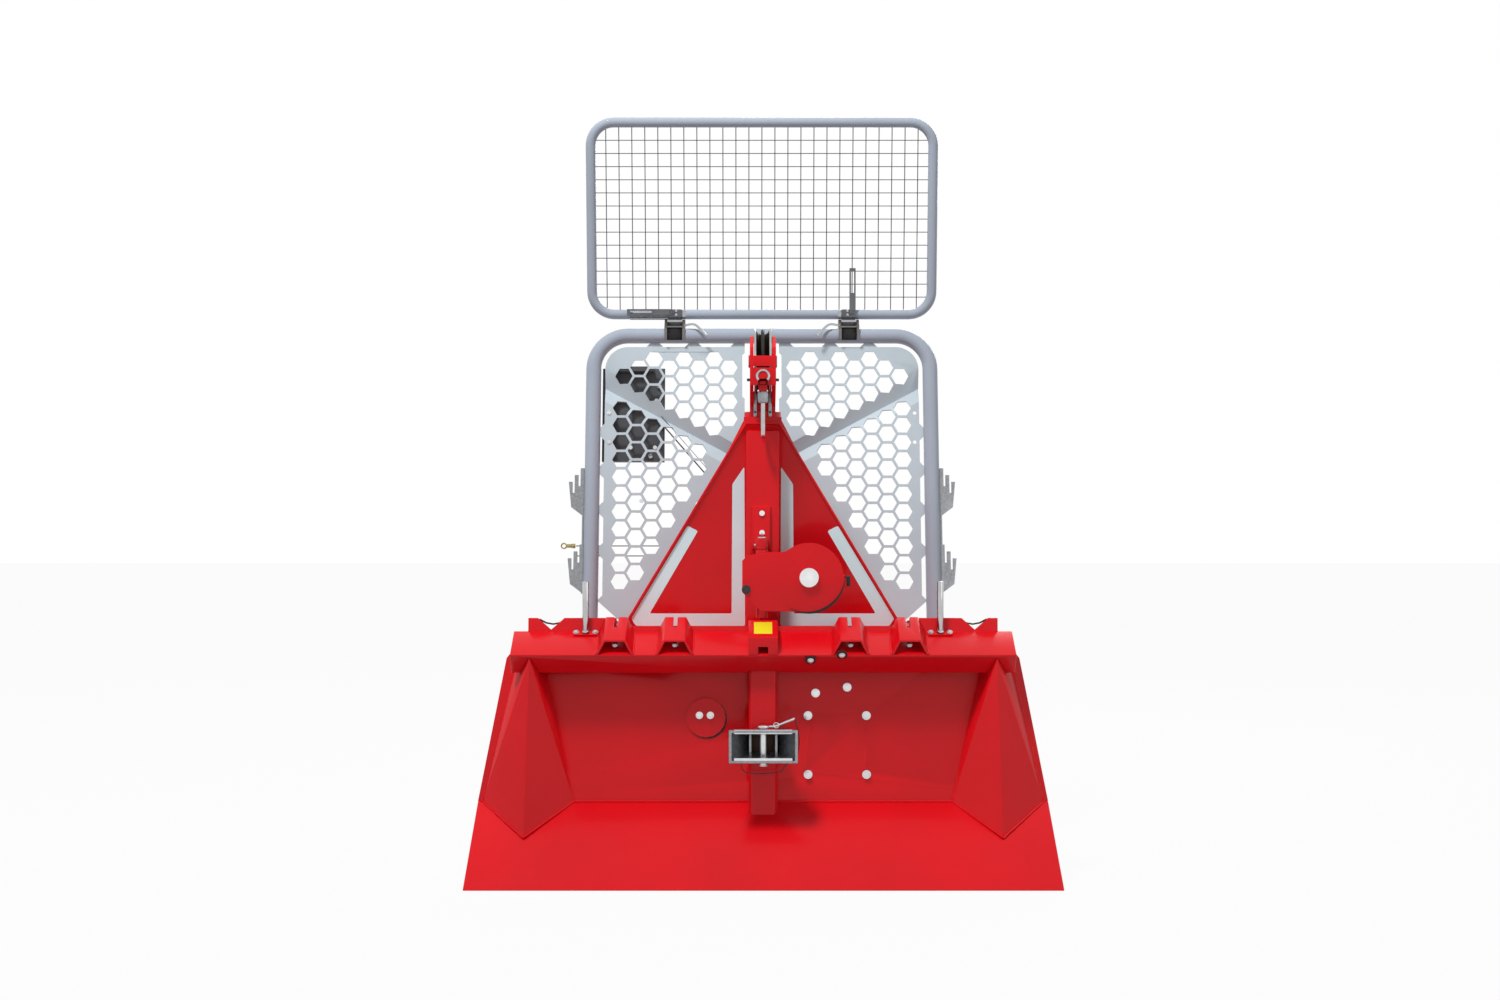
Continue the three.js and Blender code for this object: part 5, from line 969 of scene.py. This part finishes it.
# Comb brackets, sheet holder and pull rods on the lower guard
# Galvanised plates with upright fingers carry hand tools and choker chains. A black moulded holder keeps
# papers dry behind the panel. Two thin pull rods with a brass coupling run behind it to the tower.
KNOBS = [(-0.338, 0.742), (-0.356, 0.56), (-0.33, 0.79)]
HOLDER_SCREWS = [(-0.488, 0.6955), (-0.487, 0.6), (-0.4185, 0.582), (-0.3405, 0.582), (-0.382, 0.4085)]
ROD_Y, ROD_Z, LOWER_ROD_Z = 0.29, 0.9577, 0.926
for side, sign in SIDES:
    eased("comb_bracket_" + side, "tool_comb_" + side, 0.0012, galvanised)
holder_black = rubber("black_moulding", (0.085, 0.088, 0.096), 0.5)
smoke = rubber("smoky_insert", (0.22, 0.225, 0.235), 0.3)
brass = metal("olive_brass", (0.5, 0.42, 0.2), 0.36)
eased("sheet_holder", "paper_holder", 0.002, holder_black, steps=3)
insert = slab((-0.492, 0.039, 0.575), (-0.33, 0.0415, 0.8), 0.001)
dress("paper_holder_insert", lean(insert, *LOWER), smoke)
knobs = joined([disc((x, 0.0285, z), FRONT, 0.008, 0.006, 24, 0.002) for x, z in KNOBS])
dress("paper_holder_knobs", lean(knobs, *LOWER), zinc)
screws = joined([disc((x, -0.0022, z), FRONT, 0.0068, 0.0024, 24, 0.001) for x, z in HOLDER_SCREWS])
dress("holder_screws", lean(screws, *LOWER), white_zinc)
pulls = [tube([(-0.59, ROD_Y, z), (-0.063, ROD_Y, z)], 0.0016) for z in (ROD_Z, LOWER_ROD_Z)]
pulls.append(slab((-0.066, 0.206, 0.912), (-0.0602, 0.3, 0.972), 0.001))
dress("pull_rods", pulls, dark_wire)
coupling = [
    disc((-0.592, ROD_Y, ROD_Z), (-1, 0, 0), 0.0085, 0.012, 6, 0.001),
    disc((-0.604, ROD_Y, ROD_Z), (-1, 0, 0), 0.0062, 0.016, 32, 0.001),
    tube(upright(circle(-0.6285, ROD_Z, 0.008, 24), ROD_Y), 0.0026, 10, closed=True),
]
dress("rod_coupling", coupling, brass)
dress("rod_clamp", slab((-0.56, 0.27, 0.918), (-0.52, 0.296, 0.966), 0.002), zinc)
stay = [
    tube([(-0.335, 0.36, 1.364), (-0.12, 0.304, 1.118)], 0.0021),
    tube([(-0.322, 0.357, 1.372), (-0.107, 0.302, 1.126)], 0.0009, 8),
    slab((-0.13, 0.286, 1.108), (-0.098, 0.306, 1.13), 0.001),
]
dress("holder_stay", stay, black_rubber)

# Upper guard: frame, welded mesh and hinge blocks
# A bent tube loop with a welded wire mesh inside it. Two blocks on its lower side hinge it to the lower
# guard, so that it folds down to the tractor side.
UPPER = ((0.412, 1.703), math.radians(7.6))
UPPER_HEIGHT = 0.611
UPPER_TUBE = 0.0159
UPPER_CORNER = 0.09
MESH_PITCH = 0.0416
MESH_WIRE = 0.0015
COLUMNS, ROWS = 12, 6
COLUMN_Y, ROW_Y = 0.0029, 0.0002
WIRE_INSET = UPPER_TUBE * 0.6
HINGE_X = 0.28
HINGE_PLACE = (0.425, 1.672)
HINGE_HALF = 0.0225
BARREL = [(0.0085, -HINGE_HALF), (0.0125, -HINGE_HALF), (0.0125, HINGE_HALF), (0.0085, HINGE_HALF)]


def chord(at, half_run, half_side, corner):
    """How far a wire reaches each way from the middle, inside a loop with rounded corners."""
    past = at - (half_side - corner)
    return half_run - corner + math.sqrt(corner ** 2 - past ** 2) if past > 0 else half_run


half = GUARD_HALF - UPPER_TUBE
bend = UPPER_CORNER - UPPER_TUBE
loop = [
    *arc_points(half - bend, UPPER_HEIGHT - bend, bend, 0, 90),
    *arc_points(bend - half, UPPER_HEIGHT - bend, bend, 90, 180),
    *arc_points(bend - half, bend, bend, 180, 270),
    *arc_points(half - bend, bend, bend, 270, 360),
]
loop = lean(tube(upright(loop), UPPER_TUBE, 40, closed=True), *UPPER)
dress("upper_guard_loop", loop, grey, "upper_guard", "upper_guard_frame")
blocks, barrels = [], []
for sign in (-1, 1):
    x = sign * HINGE_X
    left, right = x - HINGE_HALF, x + HINGE_HALF
    blocks += [
        slab((left, 0.392, 1.692), (right, 0.436, 1.718), 0.002),
        slab((left, 0.413, 1.682), (right, 0.437, 1.696), 0.001),
        disc((x + sign * 0.012, 0.3832, 1.708), BACK, 0.005, 0.01, 24, 0.0008),
    ]
    barrels.append(turned(BARREL, (x, *HINGE_PLACE), RIGHT, 40, 0.0008))
block_steel = metal("dark_block_steel", (0.16, 0.165, 0.18), 0.42, slot="grey_paint")
dress("upper_hinge_blocks", blocks + barrels, block_steel, "upper_guard", "upper_guard_frame")
middle = UPPER_HEIGHT / 2
inner = (half - WIRE_INSET, middle - WIRE_INSET)
inner_bend = bend - WIRE_INSET
wires = []
for i in range(-COLUMNS, COLUMNS + 1):
    x = i * MESH_PITCH
    reach = chord(abs(x), inner[1], inner[0], inner_bend)
    wires.append(tube([(x, COLUMN_Y, middle - reach), (x, COLUMN_Y, middle + reach)], MESH_WIRE, 8))
for i in range(-ROWS, ROWS + 1):
    z = middle + i * MESH_PITCH
    reach = chord(abs(i * MESH_PITCH), inner[0], inner[1], inner_bend)
    wires.append(tube([(-reach, ROW_Y, z), (reach, ROW_Y, z)], MESH_WIRE, 8))
mesh_grey = paint("mesh_wire_grey", (0.1, 0.105, 0.115), 0.45, 0.0, slot="grey_paint")
mesh = lean(joined(wires), *UPPER)
dress("welded_wire_mesh", mesh, mesh_grey, "upper_guard", "upper_guard_mesh")

# Hinge clevises, rubber sleeves and latch levers
# Flame-cut clevis plates stand on the lower guard's top tube, each with a rubber sleeve between them. Slotted
# levers lock the upper guard: the right one is closed, and the left one lies open.
TUBE_RUN = GUARD_HEIGHT - GUARD_TUBE
TOP_TUBE = (
    GUARD_FOOT[0] + TUBE_RUN * math.sin(GUARD_LEAN), GUARD_FOOT[1] + TUBE_RUN * math.cos(GUARD_LEAN)
)
SLEEVE_RING = arc_points(0, 0, 0.0272, -32, 212, 30) + arc_points(0, 0, 0.0243, 212, -32, 30)
SLEEVE_WIDTH = 0.0476
CROSSBAR_HALF = 0.0243
TAB_OFFSET, TAB_HALF = 0.029, 0.006
CATCH_ROD = [
    (0.03, 0.378, 1.664), (0.046, 0.372, 1.667), (0.062, 0.364, 1.667), (0.078, 0.356, 1.656),
    (0.104, 0.345, 1.629),
]
worn = metal("worn_grey_steel", (0.24, 0.225, 0.215), 0.42, slot="grey_paint")
lever_steel = metal("dark_lever_steel", (0.17, 0.175, 0.19), 0.4)
bolts, tabs, rods, bars = [], [], [], []
for side, sign in SIDES:
    x = sign * HINGE_X
    eased("hinge_clevis_" + side, "guard_clevis_" + side, 0.0012, worn)
    sleeve = flat_sheet([SLEEVE_RING], SLEEVE_WIDTH)
    sleeve.data.transform(Matrix.Translation((x, *TOP_TUBE)) @ Matrix.Rotation(math.radians(90), 4, "Z"))
    dress("guard_sleeve_" + side, sleeve, black_rubber)
    eased("latch_lever_" + side, "guard_latch_" + side, 0.0012, lever_steel, "latch_" + side, 3)
    bars.append(slab((x - CROSSBAR_HALF, 0.384, 1.676), (x + CROSSBAR_HALF, 0.39, 1.6835), 0.001))
    bolts += [disc((x - sign * 0.004, 0.3921, z), FRONT, 0.0042, 0.003, 24, 0.001) for z in (1.7005, 1.7128)]
    tab_x = x - sign * TAB_OFFSET
    tabs.append(slab((tab_x - TAB_HALF, 0.396, 1.694), (tab_x + TAB_HALF, 0.402, 1.716), 0.0012))
    rods.append(tube(smooth_path([(x - sign * dx, y, z) for dx, y, z in CATCH_ROD]), 0.0036, 16))
dress("hinge_block_screws", bolts, bright, "upper_guard")
dress("hinge_block_tabs", tabs, zinc, "upper_guard")
dress("guard_catch_rods", rods, bright)
dress("clevis_crossbars", bars, zinc)
slot = slab((-0.414, 0.3865, 1.705), (-0.344, 0.3895, 1.711), 0.0005)
dress("latch_slot_strip", slot, bright, "latch_left")
open_bar = tube([(-0.425, 0.402, 1.69), (-0.303, 0.402, 1.69)], 0.0055, 16)
dress("open_latch_bar", open_bar, galvanised, "upper_guard")

# Housing of the winch: deck, side, bottom and rear plates, and the guard's beam
# Folded and welded red plates close the drum in. The rear plate carries the lugs of the tractor's lower
# links, and a box beam across its top carries the guards. Hex screws hold the side plates.
REAR_FACE_Y = 0.218
SIDE_FACE_X = 0.498
BEARING_REACH = 0.0855
HOUSING_BOLT, HOUSING_SCREW = (0.0125, 0.009), (0.0095, 0.007)
SIDE_SCREWS = [
    (-0.12, 0.15), (0.16, 0.15), (-0.13, 0.4), (0.16, 0.4), (-0.13, 0.67), (0.1, 0.67),
]
DECK_SCREWS = (-0.12, 0, 0.12)
PLUG_X, PLUG_HALF = 0.6, 0.003
UPPER_SEAMS = (-0.4525, -0.3715, 0.3715, 0.4525)
LEG_SEAMS = (-0.332, -0.268, 0.268, 0.332)
for node in ("deck", "side_plate_left", "side_plate_right", "bottom_plate", "rear_plate", "guard_beam"):
    eased(node, "housing_" + node, 0.0014, red)
screws = []
for across in (-BEARING_REACH, BEARING_REACH):
    for up in (-BEARING_REACH, BEARING_REACH):
        screws.append(hex_bolt((DRUM_X + across, REAR_FACE_Y, DRUM_Z + up), BACK, *HOUSING_BOLT))
for sign in (-1, 1):
    places = [((sign * SIDE_FACE_X, y, z), (sign, 0, 0)) for y, z in SIDE_SCREWS]
    places += [((sign * 0.455, y, 0.724), UP) for y in DECK_SCREWS]
    screws += [hex_bolt(place, axis, *HOUSING_SCREW) for place, axis in places]
dress("housing_screws", screws, zinc)
plugs = []
for x in (-PLUG_X, PLUG_X):
    plugs.append(slab((x - PLUG_HALF, 0.1845, 0.6245), (x + PLUG_HALF, 0.2355, 0.6755)))
dress("beam_end_plugs", plugs, black_rubber)
weld(
    "housing_welds",
    ((-0.49, 0.2405, 0.6201), (0.49, 0.2405, 0.6201)),
    *(((x, REAR_FACE_Y, 0.186), (x, REAR_FACE_Y, 0.334)) for x in UPPER_SEAMS),
    *(((x, REAR_FACE_Y, 0.121), (x, REAR_FACE_Y, 0.329)) for x in LEG_SEAMS),
)

# Parking legs with their clamp screws
# Galvanised square tubes on foot plates slide in sleeves on the rear plate. A T-screw on each sleeve
# clamps the leg at its height, and a black cap closes the tube.
LEG_X = 0.3
CAP_HALF = 0.0235
CLAMP_Z = 0.23
for side, sign in SIDES:
    body, x = "leg_" + side, sign * LEG_X
    eased("parking_leg_" + side, "parking_leg_tube_" + side, 0.0028, galvanised, body, 3)
    cap = slab((x - CAP_HALF, 0.2261, 0.48), (x + CAP_HALF, 0.2731, 0.484))
    dress("leg_cap_" + side, cap, black_rubber, body)
    clamp = [
        disc((x, 0.281, CLAMP_Z), BACK, 0.013, 0.01, 6, 0.001),
        tube([(x, 0.291, CLAMP_Z), (x, 0.316, CLAMP_Z)], 0.005, 20),
        tube([(x - 0.032, 0.31, CLAMP_Z - 0.008), (x + 0.032, 0.31, CLAMP_Z + 0.008)], 0.0035, 16),
    ]
    dress("leg_clamp_" + side, clamp, bright)

# Link pins and their lynch pins
# Turned and plated pins for the tractor's lower links and top link. A spring-ringed lynch pin near each
# end keeps them in their lugs.
LYNCH_RING = 0.019
LOWER_PIN_X = 0.412
# Where each pin is across and up, half its length, how far out its lynch pins are, and its radius
LOWER_PIN = (0.268, 0.26, 0.054, 0.0475, 0.014)
TOP_PIN = (0.21, 0.93, 0.082, 0.0745, 0.0125)


def link_pin(name, node, x, y, z, half, clip_half, radius):
    """A turned pin along X with chamfered ends and a lynch pin near each end."""
    bevel = radius * 0.16
    profile = [(0.0005, half), (radius - bevel, half), (radius, half - bevel)]
    profile += [(r, -along) for r, along in reversed(profile)]
    pin = turned(profile[::-1], (x, y, z), RIGHT, 48, 0.0005)
    clips = []
    for at in (x - clip_half, x + clip_half):
        ring = circle(y, z + radius * 1.7 - LYNCH_RING, LYNCH_RING, 30, 90)
        clips += [
            tube([(at, y, z - radius * 1.7), (at, y, z + radius * 1.9)], 0.0038, 16),
            tube([(at, *place) for place in ring], 0.0018, 10, closed=True),
            disc((at, y, z + radius * 1.55), UP, 0.0062, 0.008, 24, 0.001),
        ]
    dress(name, pin, zinc, "frame", node)
    dress(name + "_clips", clips, bright)


for side, sign in SIDES:
    link_pin("lower_link_bolt_" + side, "lower_link_pin_" + side, sign * LOWER_PIN_X, *LOWER_PIN)
eased("link_tower", "link_tower_stays", 0.0018, red)
link_pin("top_link_bolt", "top_link_pin", 0, *TOP_PIN)

# Drive shaft and its guard
# A splined stub shaft takes the tractor's drive. A ribbed black plastic tube bolted to the rear plate
# guards it, open at its end.
INPUT_X, INPUT_Z = -0.167, 0.467
GUARD_PROFILE = [
    (0.074, 0.2183), (0.0805, 0.2183), (0.0805, 0.226), (0.078, 0.2265), (0.078, 0.29), (0.0795, 0.292),
    (0.0795, 0.298), (0.078, 0.3), (0.078, 0.36), (0.0795, 0.362), (0.0795, 0.368), (0.078, 0.37),
    (0.078, 0.4385), (0.077, 0.44), (0.074, 0.44),
]
INPUT_PROFILE = [
    (0.0005, -0.19), (0.017, -0.19), (0.0175, -0.1895), (0.0175, 0.13), (0.03, 0.132), (0.03, 0.162),
    (0.0175, 0.164), (0.0175, 0.335), (0.0155, 0.337), (0.0155, 0.345), (0.0005, 0.345),
]
SPLINE = ((-12, 0.0148), (-11, 0.0175), (11, 0.0175), (12, 0.0148), (30, 0.0148))
CHAIN_Y = 0.147
SPROCKET_THICKNESS = 0.0096


def toothed(x, z, teeth, root, tip):
    """A sprocket's plate with a rounded root and a narrow tip on each tooth."""
    flank = (root + tip) / 2
    shares = (0.0, 0.18, 0.36, 0.54, 0.62, 0.74, 0.82)
    ring = []
    for k in range(teeth):
        for share, radius in zip(shares, (root, root - 0.0006, root, flank, tip, tip, flank)):
            angle = 2 * math.pi * (k + share) / teeth
            ring.append((x + radius * math.cos(angle), z + radius * math.sin(angle)))
    return flat_sheet([ring], SPROCKET_THICKNESS, CHAIN_Y)


black_moulding = rubber("moulded_guard_plastic", (0.02, 0.02, 0.022), 0.42)
steel_bare = metal("turned_steel", (0.44, 0.44, 0.45), 0.26, brushed=0.5, slot="steel")
shaft_guard = turned(GUARD_PROFILE, (INPUT_X, 0, INPUT_Z), BACK, 72, 0.0006)
dress("shaft_guard", shaft_guard, black_moulding, "frame", "input_guard")
splines = []
for k in range(6):
    for offset, radius in SPLINE:
        angle = math.radians(60 * k + offset)
        splines.append((INPUT_X + radius * math.cos(angle), INPUT_Z + radius * math.sin(angle)))
stub = [
    turned(INPUT_PROFILE, (INPUT_X, 0, INPUT_Z), BACK, 48, 0.0004),
    flat_sheet([splines], 0.07, 0.38),
    toothed(INPUT_X, INPUT_Z, 12, 0.036, 0.0437),
]
dress("drive_stub_shaft", stub, steel_bare, "input_shaft", "input_shaft")

# Drum, its shaft, bearings, brake band and chain
# The drum turns in two flanged bearings. A steel band brakes its front flange, and a roller chain drives
# the big sprocket. The rope is wound on the drum's core.
DRUM_PLACE = (DRUM_X, 0, DRUM_Z)
DRUM_PROFILE = [
    (0.0258, -0.12), (0.2485, -0.12), (0.25, -0.1185), (0.25, -0.0915), (0.2485, -0.09),
    (0.104, -0.09), (0.1, -0.086), (0.1, 0.086), (0.104, 0.09), (0.2485, 0.09), (0.25, 0.0915),
    (0.25, 0.0965), (0.2485, 0.098), (0.0258, 0.098),
]
SHAFT_PROFILE = [
    (0.0005, -0.186), (0.024, -0.186), (0.025, -0.185), (0.025, 0.0983), (0.119, 0.0983), (0.12, 0.0993),
    (0.12, 0.146), (0.119, 0.147), (0.025, 0.147), (0.025, 0.2047), (0.024, 0.2057), (0.0005, 0.2057),
]
FLANGE_HALF, FLANGE_THICKNESS = 0.1025, 0.014
HUB_BORE = 0.0262
dress("rope_drum", turned(DRUM_PROFILE, DRUM_PLACE, BACK, 96), cast_steel, "drum", "drum")
axle = [turned(SHAFT_PROFILE, DRUM_PLACE, BACK, 64), toothed(DRUM_X, DRUM_Z, 44, 0.153, 0.1608)]
dress("drum_axle", axle, steel_bare, "drum", "drum_shaft")
cast_iron = paint("bearing_cast_iron", (0.055, 0.057, 0.062), 0.5, 0, peel=0.3, slot="steel")
left, right, bottom, top = (at + reach for at in DRUM_PLACE[::2] for reach in (-FLANGE_HALF, FLANGE_HALF))
square = rounded([(left, bottom), (right, bottom), (right, top), (left, top)], 0.022)
outlines = [square, circle(DRUM_X, DRUM_Z, HUB_BORE, 48)]
for node, flange_y, hub_y in (("front_bearing", -0.2118, -0.1718), ("rear_bearing", 0.2097, 0.1697)):
    inner = flange_y + math.copysign(FLANGE_THICKNESS, hub_y - flange_y)
    flange = flat_sheet(outlines, FLANGE_THICKNESS, (flange_y + inner) / 2)
    profile = [(HUB_BORE, inner), (0.06, inner), (0.058, hub_y), (HUB_BORE, hub_y)]
    hub = turned(profile, DRUM_PLACE, BACK, 48, 0.001)
    dress(node + "_unit", [flange, hub], cast_iron, "frame", node)
eased("brake_band", "brake_band_lining", 0.0006, worn, slot="steel")
eased("drive_chain", "roller_chain", 0.0008, dark_wire, slot="steel")

# Clutch and brake levers
# Flat-hubbed steel levers turn on pins between ears of the rear plate. Each ends in a black rubber grip,
# and is pulled by hand or by the tractor's cord.
LEVER_HUB = [(0.0083, -0.0068), (0.018, -0.0068), (0.018, 0.0068), (0.0083, 0.0068)]
GRIP_SHARES = (0.5, 0.505, 0.53, 0.6, 0.7, 0.8, 0.9, 0.96, 0.985, 1.0)
for body, x in (("clutch_lever", 0.03), ("brake_lever", 0.096)):
    foot, tip = Vector((x, 0.252, 0.56)), Vector((x, 0.286, 0.71))
    hub = turned(LEVER_HUB, foot, RIGHT, 40, 0.0008)
    arm = tube([foot.lerp(tip, 0.11), foot.lerp(tip, 0.97)], 0.0062, 20)
    grip = tube([foot.lerp(tip, share) for share in GRIP_SHARES], 0.0088, 24)
    dress(body + "_arm", [hub, arm], galvanised, body, body)
    dress(body + "_grip", grip, black_rubber, body)
